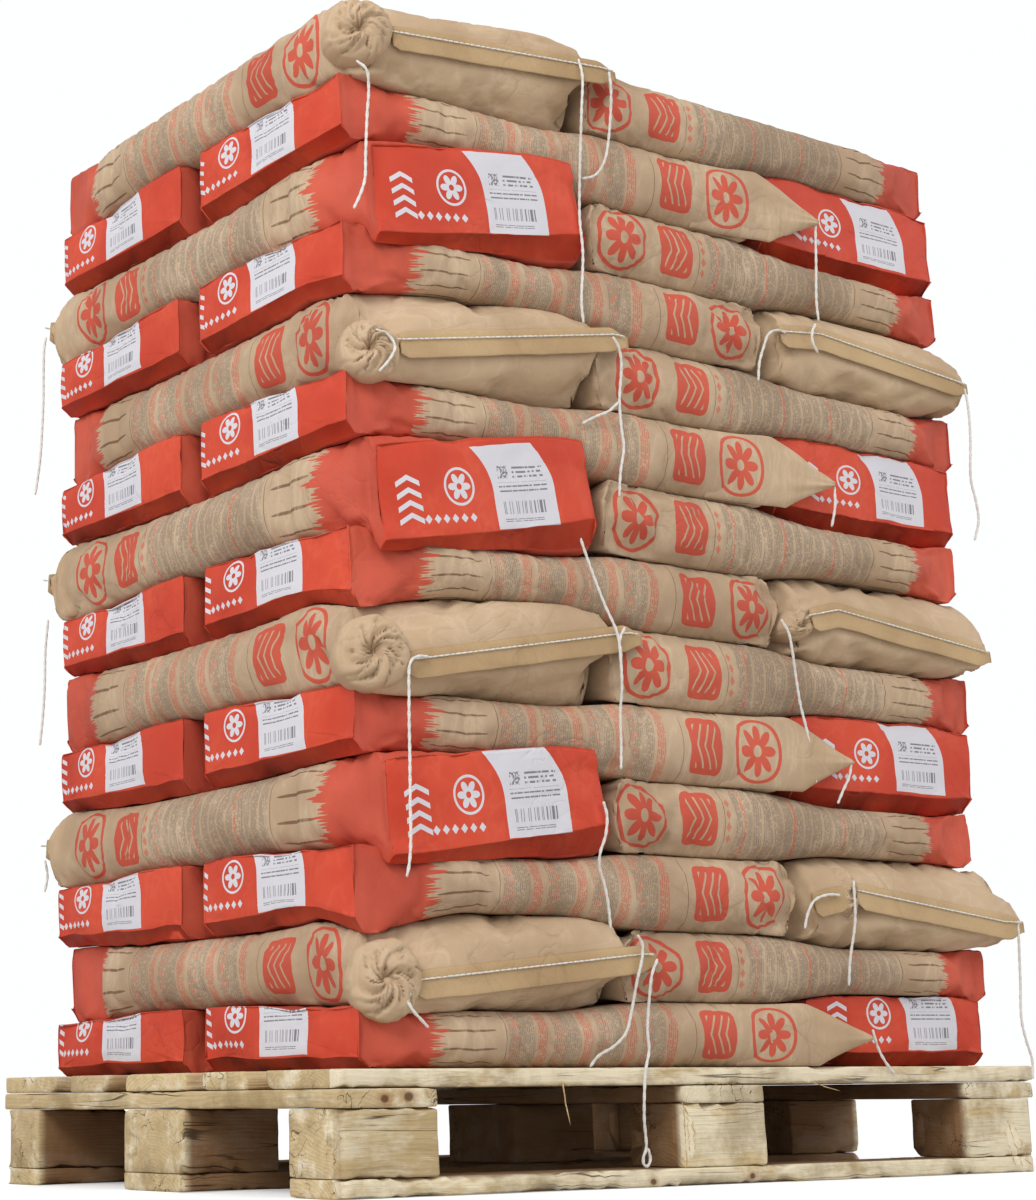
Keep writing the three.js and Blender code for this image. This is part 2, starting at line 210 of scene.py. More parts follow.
class Field:
    """A number that varies over a surface, worked out by Math nodes."""

    def __init__(self, tree, socket):
        self.tree, self.socket = tree, socket

    def op(self, operation, *others):
        node = self.tree.nodes.new("ShaderNodeMath")
        node.operation = operation
        for socket, value in zip(node.inputs, (self, *others)):
            if isinstance(value, Field):
                self.tree.links.new(value.socket, socket)
            else:
                socket.default_value = value
        return Field(self.tree, node.outputs[0])

    __add__ = __radd__ = lambda self, other: self.op("ADD", other)
    __sub__ = lambda self, other: self.op("SUBTRACT", other)
    __rsub__ = lambda self, other: self.op("MULTIPLY", -1.0).op("ADD", other)
    __mul__ = __rmul__ = __and__ = lambda self, other: self.op("MULTIPLY", other)
    __truediv__ = lambda self, other: self.op("DIVIDE", other)
    __pow__ = lambda self, other: self.op("POWER", other)
    __abs__ = lambda self: self.op("ABSOLUTE")
    __lt__ = lambda self, other: self.op("LESS_THAN", other)
    __gt__ = lambda self, other: self.op("GREATER_THAN", other)
    __or__ = lambda self, other: self.op("MAXIMUM", other)
    part = lambda self: self.op("FRACT")
    whole = lambda self: self.op("FLOOR")

    def step(self, low, high):
        """0 below low and 1 above high, smooth between them."""
        t = ((self - low) / (high - low)).op("MAXIMUM", 0.0).op("MINIMUM", 1.0)
        return t * t * (3.0 - 2.0 * t)


def add(tree, kind, inputs=(), **settings):
    """A node, with each given input linked to a socket or Field, or set to a value."""
    node = tree.nodes.new(kind)
    for key, value in settings.items():
        setattr(node, key, value)
    for key, value in dict(inputs).items():
        value = value.socket if isinstance(value, Field) else value
        if isinstance(value, bpy.types.NodeSocket):
            tree.links.new(value, node.inputs[key])
        else:
            node.inputs[key].default_value = value
    return node


def noise(tree, vector, scale, detail=3.0, rough=0.55, distortion=0.0):
    node = add(tree, "ShaderNodeTexNoise", {"Vector": vector, "Scale": scale, "Detail": detail,
        "Roughness": rough, "Distortion": distortion})
    return Field(tree, node.outputs["Fac"])


def stretched(tree, vector, scale):
    return add(tree, "ShaderNodeMapping", {"Vector": vector, "Scale": scale}).outputs[0]


def tint(tree, factor, a, b):
    """Colour a where the factor is 0 and b where it is 1. Colours are sockets, or sRGB in 0 to 255."""
    def linear(c):
        if isinstance(c, bpy.types.NodeSocket):
            return c
        return (*((x / 255 / 12.92 if x < 11 else ((x / 255 + 0.055) / 1.055) ** 2.4) for x in c), 1.0)
    node = add(tree, "ShaderNodeMix", data_type="RGBA")
    tree.links.new(factor.socket, node.inputs[0])
    for key, colour in ((6, linear(a)), (7, linear(b))):
        if isinstance(colour, bpy.types.NodeSocket):
            tree.links.new(colour, node.inputs[key])
        else:
            node.inputs[key].default_value = colour
    return node.outputs[2]


def start_material(name):
    """An empty material: its tree and its shader."""
    material = bpy.data.materials.new(name)
    material.use_nodes = True
    tree = material.node_tree
    tree.nodes.clear()
    shader = tree.nodes.new("ShaderNodeBsdfPrincipled")
    output = tree.nodes.new("ShaderNodeOutputMaterial")
    tree.links.new(shader.outputs[0], output.inputs[0])
    return material, tree, shader


def object_place(tree):
    return add(tree, "ShaderNodeTexCoord").outputs["Object"]


def finish_shader(tree, shader, colour, roughness, height, distance, strength=1.0):
    """Links the colour, the roughness and a relief of this height to the shader."""
    bump = add(tree, "ShaderNodeBump", {"Strength": strength, "Distance": distance, "Height": height})
    tree.links.new(colour, shader.inputs["Base Color"])
    tree.links.new(roughness.socket, shader.inputs["Roughness"])
    tree.links.new(bump.outputs[0], shader.inputs["Normal"])


cotton, tree, shader = start_material("cotton_yarn")
place = object_place(tree)
fluff = noise(tree, place, 900.0, 2.0)
grime = noise(tree, place, 14.0, 3.0).step(0.45, 0.8)
yarn = tint(tree, fluff.step(0.3, 0.75), (198, 194, 186), (238, 236, 232))
yarn = tint(tree, grime * 0.5, yarn, (178, 168, 150))
shader.inputs["Sheen Weight"].default_value = 0.3
finish_shader(tree, shader, yarn, 0.82 + fluff * 0.15, fluff, 0.0006)

for name, points in {**SOLID_THREADS, **SHORT_THREADS}.items():
    piece, line, length = twisted_thread(name if name in SHORT_THREADS else "cotton_" + name, points)
    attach(piece, "root")
    if name in SOLID_THREADS:
        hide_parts(name)

# The pallet: rough-sawn softwood, five deck boards nailed over three stringers, and three bottom
# boards with three blocks each. Old and weathered: rounded and chipped edges, knots, grey streaks.
HALF_LENGTH, HALF_WIDTH = 0.600, 0.400
BOARD_TOP, BLOCK_TOP = 0.022, 0.0995
CORNER_CUT = 0.016


def ripple(points, scale, seed=0):
    """Smooth noise from -1 to 1 over points, with lumps about as wide as scale."""
    p = np.asarray(points, float) / scale + seed * 7.31
    cell = np.floor(p).astype(np.int64)
    f = p - cell
    f = f * f * f * (f * (f * 6 - 15) + 10)
    total = np.zeros(p.shape[:-1])
    for corner in product((0, 1), repeat=p.shape[-1]):
        h = np.full(p.shape[:-1], 374761393 + seed * 668265263, np.int64)
        weight = np.ones(p.shape[:-1])
        for i, c in enumerate(corner):
            h = ((h ^ ((cell[..., i] + c) * (73856093, 19349663, 83492791)[i])) * 2654435761) & 0xffffffff
            h ^= h >> 15
            weight = weight * (f[..., i] if c else 1 - f[..., i])
        total += weight * ((h & 0xffff) / 32767.5 - 1)
    return total


def ring_strips(rows, n):
    """The four-sided faces between rows rings of n points each."""
    i, j = np.meshgrid(np.arange(rows - 1), np.arange(n), indexing="ij")
    k = (j + 1) % n
    return np.stack([i * n + j, i * n + k, (i + 1) * n + k, (i + 1) * n + j], -1).reshape(-1, 4)


def ring_lid(first, n, middle):
    """Faces that close a ring from side to side, pairing the points above and below its middle."""
    at = lambda k: first + (middle + k) % n
    faces = [(at(0), at(1), at(-1))]
    faces += [(at(-k), at(k), at(k + 1), at(-k - 1)) for k in range(1, n // 2 - 1)]
    return faces + [(at(1 - n // 2), at(n // 2 - 1), at(n // 2))]


def outward_faces(verts, faces):
    """The faces, turned to point out of the closed shell that they make."""
    quads = np.array([f for f in faces if len(f) == 4])
    a, b, c, d = (verts[quads[:, i]] for i in range(4))
    whole = (np.einsum("ij,ij->i", a, np.cross(b, c)) + np.einsum("ij,ij->i", a, np.cross(c, d))).sum()
    return [tuple(f) for f in faces] if whole > 0 else [tuple(f)[::-1] for f in faces]


def lofted(rows, middle=0):
    """Verts and faces of a closed shell through rings of points, with a flat lid on each end."""
    verts, n = np.vstack(rows), len(rows[0])
    faces = [tuple(q) for q in ring_strips(len(rows), n)] + [f[::-1] for f in ring_lid(0, n, middle)]
    faces += ring_lid((len(rows) - 1) * n, n, middle)
    return verts, outward_faces(verts, faces)


def plank(low, high, along, seed, spacing=0.012, wear=0.0022, wane=0.0):
    """A sawn piece between two corners, with rounded, chipped edges. Gives verts, faces and grain.
    Wane is how far its lowest long edges are cut back, as where bark has come off."""
    low, high = np.array(low), np.array(high)
    across, through = [i for i in range(3) if i != along]
    half = (high - low) / 2
    radius = 0.0028
    corner = np.linspace(0, math.pi / 2, 4)
    wide = max(3, int(2 * half[across] / spacing))
    thick = max(2, int(2 * half[through] / 0.009))
    side = lambda a, b, count: np.linspace(a, b, count + 1)[1:-1]
    w, h = half[across] - radius, half[through] - radius
    outline = [(-half[across], z) for z in side(-h, h, thick)]
    outline += [(-w - radius * math.cos(c), h + radius * math.sin(c)) for c in corner]
    outline += [(x, half[through]) for x in side(-w, w, wide)]
    outline += [(w + radius * math.sin(c), h + radius * math.cos(c)) for c in corner]
    outline += [(half[across], z) for z in side(h, -h, thick)]
    outline += [(w + radius * math.cos(c), -h - radius * math.sin(c)) for c in corner]
    outline += [(x, -half[through]) for x in side(w, -w, wide)]
    outline += [(-w - radius * math.sin(c), -h - radius * math.cos(c)) for c in corner]
    outline = np.array(outline)
    steps = np.linspace(-half[along] + 0.004, half[along] - 0.004, max(4, int(2 * half[along] / spacing)))
    start = [(-half[along], 0.55), (-half[along], 0.93), (-half[along] + 0.0012, 0.985)]
    stations = start + [(x, 1) for x in steps] + [(-x, shrink) for x, shrink in start[::-1]]
    rows = []
    for x, shrink in stations:
        ring = np.zeros((len(outline), 3))
        ring[:, along] = x
        pull = 1 - (1 - shrink) * min(1.0, 0.02 / half[through]) if shrink > 0.6 else shrink
        ring[:, across] = outline[:, 0] * pull
        ring[:, through] = outline[:, 1] * pull
        rows.append(ring)
    local, faces = lofted(rows, thick // 2)
    # Wear: the long edges are chipped most, the faces are hardly worn. Nothing stands out.
    near_edge = np.clip(1 - (half[across] - np.abs(local[:, across])) / 0.010, 0, 1) \
        * np.clip(1 - (half[through] - np.abs(local[:, through])) / 0.010, 0, 1)
    spot = local + seed * 1.37
    stretch = np.ones(3)
    stretch[along] = 0.25
    chip = np.clip(ripple(spot * stretch, 0.018, 1) + 0.7 * ripple(spot, 0.012, 2), 0, 1) * wear * 2.0
    hollow = wear * 0.20 * (1 + ripple(spot * stretch, 0.045, 3))
    ends = np.clip(1 - (half[along] - np.abs(local[:, along])) / 0.006, 0, 1)
    shape = local.copy()
    for i, depth in ((across, 1.0), (through, 0.25)):
        inward = near_edge * chip + hollow * depth
        shape[:, i] -= np.sign(local[:, i]) * np.minimum(inward, np.abs(local[:, i])) \
            * (np.abs(local[:, i]) > half[i] - 0.011)
    shape[:, along] -= np.sign(local[:, along]) * ends * wear * 0.35 * (1 + ripple(spot, 0.015, 4))
    run = local[:, [along]] + seed
    bite = np.clip(ripple(run, 0.13, 5) + 0.35 + 0.5 * ripple(run, 0.035, 6), 0, 1.4)
    low_edge = np.clip(1 - (half[through] + local[:, through]) / 0.012, 0, 1) \
        * np.clip(1 - (half[across] - np.abs(local[:, across])) / 0.022, 0, 1)
    shape[:, through] += wane * bite * low_edge
    pith_across = 0.06 * ripple(np.array([seed * 3.1, 0.5, 0.2]), 1.0, 7)
    pith_below = 0.075 + 0.04 * ripple(np.array([seed * 1.9, 0.7, 0.1]), 1.0, 8)
    grain = np.column_stack([local[:, along] + seed * 2.71, local[:, across] + pith_across,
        local[:, through] + pith_below])
    return shape + (low + high) / 2, faces, grain


def wood_piece(name, parts):
    """One object from several planks, with the grain of each as an attribute."""
    verts = np.vstack([p[0] for p in parts])
    grain = np.vstack([p[2] for p in parts])
    # The outer corners of bottom boards and blocks are cut off.
    over = np.abs(verts[:, 0]) + np.abs(verts[:, 1]) - (HALF_LENGTH + HALF_WIDTH - CORNER_CUT)
    cut = (over > 0) & (verts[:, 2] < BLOCK_TOP)
    for i in (0, 1):
        verts[cut, i] -= np.sign(verts[cut, i]) * over[cut] / 2
    faces, first = [], 0
    for p in parts:
        faces += [tuple(first + k for k in f) for f in p[1]]
        first += len(p[0])
    piece = new_piece(name, verts, faces, [wood])
    attribute = piece.data.attributes.new("grain", "FLOAT_VECTOR", "POINT")
    attribute.data.foreach_set("vector", grain.astype(np.float32).ravel())
    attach(piece, "root")
    return piece


TIMBER_MASKS = ("Late", "Fibre", "Streak", "Stain", "Bleach_and_painted_light", "Knot", "Crack", "Torn", "Painted_inner_shade", "Tone",
    "Height")
# Two pin knots in the front bottom board, and two knots in the end of the near cross board: x, z, size.
FRONT_KNOTS = ((-0.1262, 0.0067, 0.085), (0.0426, 0.0092, 0.08), (-0.5328, 0.110, 0.10),
    (-0.4984, 0.112, 0.12))


def xyz(tree, vector):
    """The three numbers of a vector."""
    return [Field(tree, part) for part in add(tree, "ShaderNodeSeparateXYZ", {0: vector}).outputs]


def field_group(name, places, numbers):
    """A shader group from places to numbers: the group, its inputs and its end."""
    group = bpy.data.node_groups.new(name, "ShaderNodeTree")
    for place in places:
        group.interface.new_socket(place, in_out="INPUT", socket_type="NodeSocketVector")
    for number in numbers:
        group.interface.new_socket(number, in_out="OUTPUT", socket_type="NodeSocketFloat")
    return group, group.nodes.new("NodeGroupInput").outputs, group.nodes.new("NodeGroupOutput")


def give(group, end, fields):
    """The group, once the fields are linked to its end."""
    for socket, field in zip(end.inputs, fields):
        group.links.new(field.socket, socket)
    return group


def taken_from(group, tree, *places):
    """What the group gives in this tree at these places."""
    node = add(tree, "ShaderNodeGroup", dict(enumerate(places)), node_tree=group)
    return [Field(tree, socket) for socket in node.outputs]


def timber_surface():
    """What rough-sawn softwood shows: year rings, fibres, stains, pale streaks, cracks, torn spots and their
    height, with painted light on front faces and painted shade inside the pallet.
    """
    group, inputs, end = field_group("timber_surface", ("Grain", "Place"), TIMBER_MASKS)
    grain, place = inputs["Grain"], inputs["Place"]
    along, across, through = xyz(group, grain)
    x, y, z = xyz(group, place)
    sway = noise(group, stretched(group, grain, (2.2, 9, 9)), 1.0, 3.0)
    knot_map = add(group, "ShaderNodeCombineXYZ", {0: along * 3.6, 1: across * 6.0 + through * 2.0})
    knot = Field(group, add(group, "ShaderNodeTexVoronoi", {"Vector": knot_map.outputs[0], "Scale": 1.0,
        "Randomness": 1.0}).outputs["Distance"])
    for kx, kz, size in FRONT_KNOTS:
        dx, dz = x - kx, z - kz
        knot = knot.op("MINIMUM", (dx * dx + dz * dz * 1.6).op("SQRT") / size + (y > -0.39) * 9.0)
    bend = 1.0 - knot.step(0.02, 0.34)
    radial = (across * across + through * through).op("SQRT") + sway * 0.040 + bend * 0.012
    ring = (radial / 0.0049 + sway * 1.3).part()
    late = ring.step(0.30, 0.90) * (1.0 - ring.step(0.92, 1.0))
    fibre = noise(group, stretched(group, grain, (22, 900, 900)), 1.0, 4.0, 0.65)
    streak = noise(group, stretched(group, grain, (2.5, 55, 55)), 1.0, 4.0, 0.6)
    near_block = (x < -0.455) & (y < -0.385) & (z > 0.022) & (z < 0.1)
    stain = noise(group, place, 7.5, 5.0, 0.66).step(0.47, 0.66) | near_block * (0.25 + 0.4 * streak)
    # Painted light: the front faces of the deck edge, the bottom boards and the right part are made paler
    # where the light falls on them; the rest of the pale streaks is weathering.
    painted_light_front = ((z > 0.121) | (z < 0.022) | (x > -0.1)) & (y < -0.385)
    pale = noise(group, stretched(group, grain, (9, 24, 24)), 1.0, 4.0, 0.65)
    bleach_and_painted_light = (pale + painted_light_front * 0.17).step(0.48, 0.66)
    split = abs(noise(group, stretched(group, grain, (1.6, 42, 42)), 1.0, 2.0, 0.5, 0.4) - 0.5)
    dry = noise(group, stretched(group, grain, (5, 16, 16)), 1.0, 2.0)
    crack = (1.0 - split.step(0.0, 0.010)) * dry.step(0.50, 0.60)
    # Two spots where a fork has torn the blocks' faces.
    ragged = noise(group, stretched(group, place, (60, 60, 190)), 1.0, 3.0, 0.7) * 0.9
    torn = (((x + 0.066) / 0.016) ** 2.0 + ((z - 0.060) / 0.034) ** 2.0 + ragged) < 1.15
    slanting = ((x - 0.556) + (z - 0.03) * 0.5) / 0.020
    torn = torn | (slanting ** 2.0 + ((z - 0.033) / 0.034) ** 2.0 + ragged < 1.15)
    torn = torn & (y < -0.392)
    # Painted shade: faces more than a few mm inside the pallet's outline, below the deck boards, are darkened
    # where boards and blocks keep the light off.
    inside = (0.6 - abs(x)).op("MINIMUM", 0.4 - abs(y))
    painted_inner_shade = inside.step(0.003, 0.016) * (1.0 - z.step(0.118, 0.126))
    tone = noise(group, stretched(group, grain, (0.22, 0.5, 0.5)), 1.0, 0.0)
    saw = noise(group, stretched(group, grain, (380, 18, 18)), 1.0, 1.0)
    height = fibre * 0.40 + saw * 0.22 + late * 0.14 + streak * 0.34 - crack * 1.1 - torn * 0.6 \
        + noise(group, place, 150.0, 3.0) * 0.22 - (1.0 - knot.step(0.03, 0.08)) * 0.3
    return give(group, end, (late, fibre, streak, stain, bleach_and_painted_light, knot, crack, torn, painted_inner_shade, tone, height))


wood, tree, shader = start_material("weathered_softwood")
grain = add(tree, "ShaderNodeAttribute", attribute_name="grain").outputs["Vector"]
late, fibre, streak, stain, bleach_and_painted_light, knot, crack, torn, painted_inner_shade, tone, height = taken_from(
    timber_surface(), tree, grain, object_place(tree))
colour = tint(tree, tone.step(0.35, 0.65), (200, 178, 138), (220, 198, 154))
colour = tint(tree, late * 0.30, colour, (180, 144, 94))
colour = tint(tree, streak.step(0.42, 0.70) * 0.42, colour, (166, 140, 98))
# Pale weathered streaks, with painted light on the front faces.
colour = tint(tree, bleach_and_painted_light * 0.74, colour, (238, 227, 200))
colour = tint(tree, stain * 0.54, colour, (132, 110, 72))
colour = tint(tree, fibre.step(0.50, 0.78) * 0.42, colour, (120, 94, 60))
colour = tint(tree, (1.0 - knot.step(0.05, 0.16)) * 0.50, colour, (158, 110, 58))
colour = tint(tree, (1.0 - knot.step(0.035, 0.075)) * 0.85, colour, (84, 54, 32))
# Painted shade on the pallet's inner faces, in a dark brown.
colour = tint(tree, painted_inner_shade * 0.78, colour, (118, 75, 42))
colour = tint(tree, crack * 0.85, colour, (58, 42, 26))
colour = tint(tree, torn * (0.95 - fibre * 0.5), colour, (240, 228, 200))
shader.inputs["Specular IOR Level"].default_value = 0.25
finish_shader(tree, shader, colour, 0.80 + fibre * 0.15, height, 0.0022, 0.9)

GAP = 0.00015
BLOCK_LENGTH = 0.145
for i in range(1, 6):
    low, high = (np.array(p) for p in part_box(f"deck_board_{i}"))
    piece = wood_piece(f"deck_{i}", [plank(low, high, 0, i, 0.010, 0.0024, 0.0010)])
    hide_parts(f"deck_board_{i}")
for i in range(1, 4):
    low, high = (np.array(p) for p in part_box(f"stringer_{i}"))
    piece = wood_piece(f"cross_{i}", [plank(low, high, 1, 10 + i, 0.012, 0.0016, 0.0008)])
    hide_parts(f"stringer_{i}")
for k, row in enumerate(("front", "middle", "back")):
    low, high = (np.array(p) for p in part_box(f"runner_{row}"))
    shape = [plank(low, (high[0], high[1], BOARD_TOP - GAP), 0, 20 + k, 0.010, 0.0028, 0.0012)]
    for i, x in enumerate((-0.5275, 0.0, 0.5275)):
        left, right_edge = max(x - BLOCK_LENGTH / 2, low[0]), min(x + BLOCK_LENGTH / 2, high[0])
        block = (left, low[1], BOARD_TOP + GAP), (right_edge, high[1], high[2])
        shape.append(plank(*block, 0, 30 + 3 * k + i, 0.0085, 0.0032))
    piece = wood_piece(f"runner_{row}_wood", shape)
    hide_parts(f"runner_{row}")


def along_lines():
    """Geometry nodes that lay a shape along lines: spacing, size, tilt and seed are its inputs."""
    tree = bpy.data.node_groups.new("along_lines", "GeometryNodeTree")
    for name, kind in (("Lines", "Geometry"), ("Spacing", "Float"), ("Smallest", "Float"), ("Tilt", "Float"),
            ("Seed", "Int"), ("Finish", "Material"), ("Shape", "Object")):
        tree.interface.new_socket(name, in_out="INPUT", socket_type="NodeSocket" + kind)
    tree.interface.new_socket("Laid", in_out="OUTPUT", socket_type="NodeSocketGeometry")
    given, end = tree.nodes.new("NodeGroupInput").outputs, tree.nodes.new("NodeGroupOutput")
    curve = add(tree, "GeometryNodeMeshToCurve", {0: given["Lines"]}).outputs[0]
    even = add(tree, "GeometryNodeResampleCurve", {"Curve": curve, "Length": given["Spacing"]}, mode="LENGTH")
    shape = add(tree, "GeometryNodeObjectInfo", {"Object": given["Shape"]})
    tangent = tree.nodes.new("GeometryNodeInputTangent").outputs[0]
    aim = add(tree, "FunctionNodeAlignRotationToVector", {"Vector": tangent}, axis="X").outputs[0]
    size = add(tree, "FunctionNodeRandomValue", {2: given["Smallest"], 3: 1.0, "Seed": given["Seed"]},
        data_type="FLOAT")
    most = add(tree, "ShaderNodeCombineXYZ", {i: given["Tilt"] for i in range(3)}).outputs[0]
    least = add(tree, "ShaderNodeVectorMath", {0: most, 1: (-1.0, -1.0, -1.0)}, operation="MULTIPLY")
    tilt = add(tree, "FunctionNodeRandomValue", {0: least.outputs[0], 1: most, "Seed": given["Seed"]},
        data_type="FLOAT_VECTOR").outputs[0]
    turn = add(tree, "FunctionNodeRotateRotation", {0: aim, 1: tilt}, rotation_space="LOCAL").outputs[0]
    lay = add(tree, "GeometryNodeInstanceOnPoints", {"Points": even.outputs[0], "Rotation": turn,
        "Instance": shape.outputs["Geometry"], "Scale": size.outputs[1]}).outputs[0]
    real = add(tree, "GeometryNodeRealizeInstances", {0: lay}).outputs[0]
    finish = add(tree, "GeometryNodeSetMaterial", {"Geometry": real, "Material": given["Finish"]})
    tree.links.new(finish.outputs[0], end.inputs[0])
    return tree


ALONG = along_lines()


def laid_out(name, lines, **values):
    """A plain mesh of what the nodes lay along the lines."""
    points, edges = [], []
    for line in lines:
        edges += [(len(points) + k, len(points) + k + 1) for k in range(len(line) - 1)]
        points += line
    mesh = bpy.data.meshes.new(name)
    mesh.from_pydata(points, edges, [])
    holder = in_scene(name + "_lines", mesh)
    modifier = holder.modifiers.new("nodes", "NODES")
    modifier.node_group = ALONG
    for item in ALONG.interface.items_tree:
        if item.in_out == "INPUT" and item.name in values:
            modifier[item.identifier] = values[item.name]
    bpy.context.view_layer.update()
    made = bpy.data.meshes.new_from_object(holder.evaluated_get(bpy.context.evaluated_depsgraph_get()))
    bpy.data.objects.remove(holder)
    bpy.data.objects.remove(values["Shape"])
    made.name = name
    made.polygons.foreach_set("use_smooth", np.full(len(made.polygons), True))
    piece = in_scene(name, made)
    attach(piece, "root")
    return piece


def rod(name, stations, width, height, material, around=6):
    """A short closed rod along X: each station is its place and its share of width and height."""
    ring = np.linspace(0, 2 * math.pi, around, endpoint=False)
    rows = [np.column_stack([np.full(around, x), width * r * np.cos(ring), height * r * np.sin(ring)])
        for x, r in stations]
    return new_piece(name, *lofted(rows), [material])


# Splinters stand on the torn spots and along the worn lower edge of the front deck board. Two long
# slivers hang from that edge by one end.
fresh, tree, shader = start_material("fresh_splinters")
fibre = noise(tree, stretched(tree, object_place(tree), (160, 160, 900)), 1.0, 3.0)
split_wood = tint(tree, fibre.step(0.35, 0.7), (216, 190, 142), (178, 146, 98))
finish_shader(tree, shader, split_wood, 0.75 + fibre * 0.2, fibre, 0.0006)
# Where each torn line starts and ends on the front face, as x and z, and where the edge lines lie.
TORN = (((-0.0705, 0.096), (-0.0700, 0.030)), ((-0.0655, 0.090), (-0.0640, 0.036)),
    ((-0.0560, 0.076), (-0.0550, 0.046)), ((0.538, 0.066), (0.560, 0.012)),
    ((0.548, 0.068), (0.574, 0.014)), ((0.532, 0.050), (0.546, 0.012)))
EDGE = ((-0.43, 0.10), (-0.30, 0.07), (-0.10, 0.12), (0.10, 0.13), (0.36, 0.06))
torn_lines = [[(x0, -0.3995, z0), (x1, -0.3998, z1)] for (x0, z0), (x1, z1) in TORN]
edge_lines = [[(x, -0.3992, 0.1245), (x + length, -0.3992, 0.1240)] for x, length in EDGE]
sliver = rod("sliver", ((-0.008, 0.08), (-0.005, 0.7), (0.0, 1.0), (0.004, 0.8), (0.009, 0.05)),
    0.0010, 0.0005, fresh)
splinters = laid_out("splinters", torn_lines + edge_lines, Spacing=0.0075, Smallest=0.35, Tilt=0.45, Seed=3,
    Finish=fresh, Shape=sliver)
HANGING_LINES = [[(-0.2675, -0.4005, 0.1275), (-0.2655, -0.4015, 0.1060)],
    [(0.158, -0.4008, 0.1235), (0.178, -0.4018, 0.1185)]]
shred = rod("shred", ((-0.001, 0.8), (0.008, 1.0), (0.018, 0.8), (0.026, 0.4), (0.031, 0.06)),
    0.0015, 0.0006, fresh)
hanging = laid_out("hanging_splinters", HANGING_LINES, Spacing=0.0125, Smallest=0.85, Tilt=0.10, Seed=5,
    Finish=fresh, Shape=shred)

# The sacks: three-ply kraft paper tubes with a block bottom, the red end, and a sewn top, filled
# with meal and pressed flat by the layers above. Each is one closed shell over the seats that its
# layer has in the part: flat where it bears, round at its sides. Sizes in metres.
LAYER_HEIGHTS = [0.081, 0.089, 0.097, 0.094, 0.099, 0.098, 0.096, 0.099, 0.099, 0.097, 0.095, 0.095,
    0.101, 0.092]
DECK_TOP = 0.144
RIGHT_REACH = [0.020, 0.021, 0.024, 0.008, 0.034, 0.026, 0.030, 0.020, 0.038, 0.036, 0.028, 0.019,
    0.030, 0.007]
RED_END_IN_FRONT = (1, 4, 5, 8, 9, 12, 13)
SIDE_ARC = 0.115
GIRTH = 0.9
SEAT_GAP = 0.0002


def rise(a, b, x):
    t = np.clip((x - a) / (b - a), 0, 1)
    return t * t * (3 - 2 * t)


def seat(k, x, y):
    """Height of the seat on top of the first k layers, as in the part's source."""
    if k == 0:
        return np.full(np.broadcast(x, y).shape, DECK_TOP)
    level = DECK_TOP + sum(LAYER_HEIGHTS[:k])
    edge = rise(0.12, 0.33, np.abs(y))
    over, under = (0.3625, -0.3525) if k % 2 else (-0.3525, 0.3625)
    swell = lambda centre: 1 - rise(0.09, 0.26, np.abs(x - centre))
    if k == 14:
        return level + 0.014 * edge * swell(over) + 0.007 * (1 - edge)
    return level + 0.014 * edge * (swell(over) - swell(under))


# Where the tape begins on the three sewn ends at the right.
TAPE_START = {3: 0.262, 7: 0.210, 11: 0.182}
# How the sack ends are rolled against their layers, in mm: the shifts of the seam at its left and at
# its right end, and those of the top and the bottom edge at five places from left to right.
END_ROLL = {
    2: (-36, 2, (-38, -18, -1, 6, 2), (-13, -6, 3, 16, 26)),
    3: (3, -30),
    4: (0, 0, (-12, -5, 7, 21, 27), (-24, -13, -3, 6, 11)),
    6: (-42, 26, (-42, -20, 4, 14, 8), (-18, -9, 7, 28, 44)),
    7: (0, -30),
    8: (0, 0, (-17, -7, 10, 30, 39), (-34, -18, -5, 9, 16)),
    10: (-33, 35, (-34, -16, 2, 12, 6), (-16, -8, 2, 19, 32)),
    11: (8, -17),
    12: (0, 0, (-15, -6, 9, 26, 34), (-30, -16, -4, 8, 14)),
    14: (-10, 27, (-20, -10, 4, 20, 14), (-8, -2, 10, 18, 24)),
}
LEVEL = (0, 0, 0, 0, 0)
EDGE_PLACES = (-0.52, -0.44, -0.33, -0.21, -0.14)
SEAM_START = {3: -12, 7: -17, 11: -1}
# The near sacks' gathered corners: x, height above the seam, half width and half height, in mm.
GATHER = {2: (-522, 0, 43, 46), 6: (-530, 6, 45, 46), 10: (-525, -16, 38, 38), 14: (-530, -6, 41, 42)}
SAG = {2: 0.026, 6: 0.024, 10: 0.014}


def rolled(s, x):
    """The shifts of an end's seam, top edge and bottom edge at x."""
    left, right_end, *edges = END_ROLL.get(s["layer"] if s["axis"] == "y" else 0, (0, 0))
    if s["ear"]:
        seam = np.interp(x, (0.190, 0.262, 0.560), (SEAM_START[s["layer"]], left, right_end)) * 0.001
    else:
        seam = np.interp(x, (-0.486, -0.130), (left, right_end)) * 0.001
    top, bottom = (np.interp(x, EDGE_PLACES, line) * 0.001 for line in edges or (LEVEL, LEVEL))
    return seam, top, bottom


def sag(k, x, y):
    """How far the red ends of some near sacks sink at the stack's front left corner."""
    return -SAG.get(k, 0.0) * (1 - rise(-0.52, -0.37, x)) * (1 - rise(-0.40, -0.25, y))


def before_neighbours(x, y):
    """The share of a neighbour's half height that its round side leaves free in front of it."""
    bulge = 0.3945 - 0.013 * (1 - rise(-0.52, -0.42, x))
    return 1 - np.sqrt(1 - (1 - np.clip((y + bulge) / 0.030, 0, 1)) ** 2)


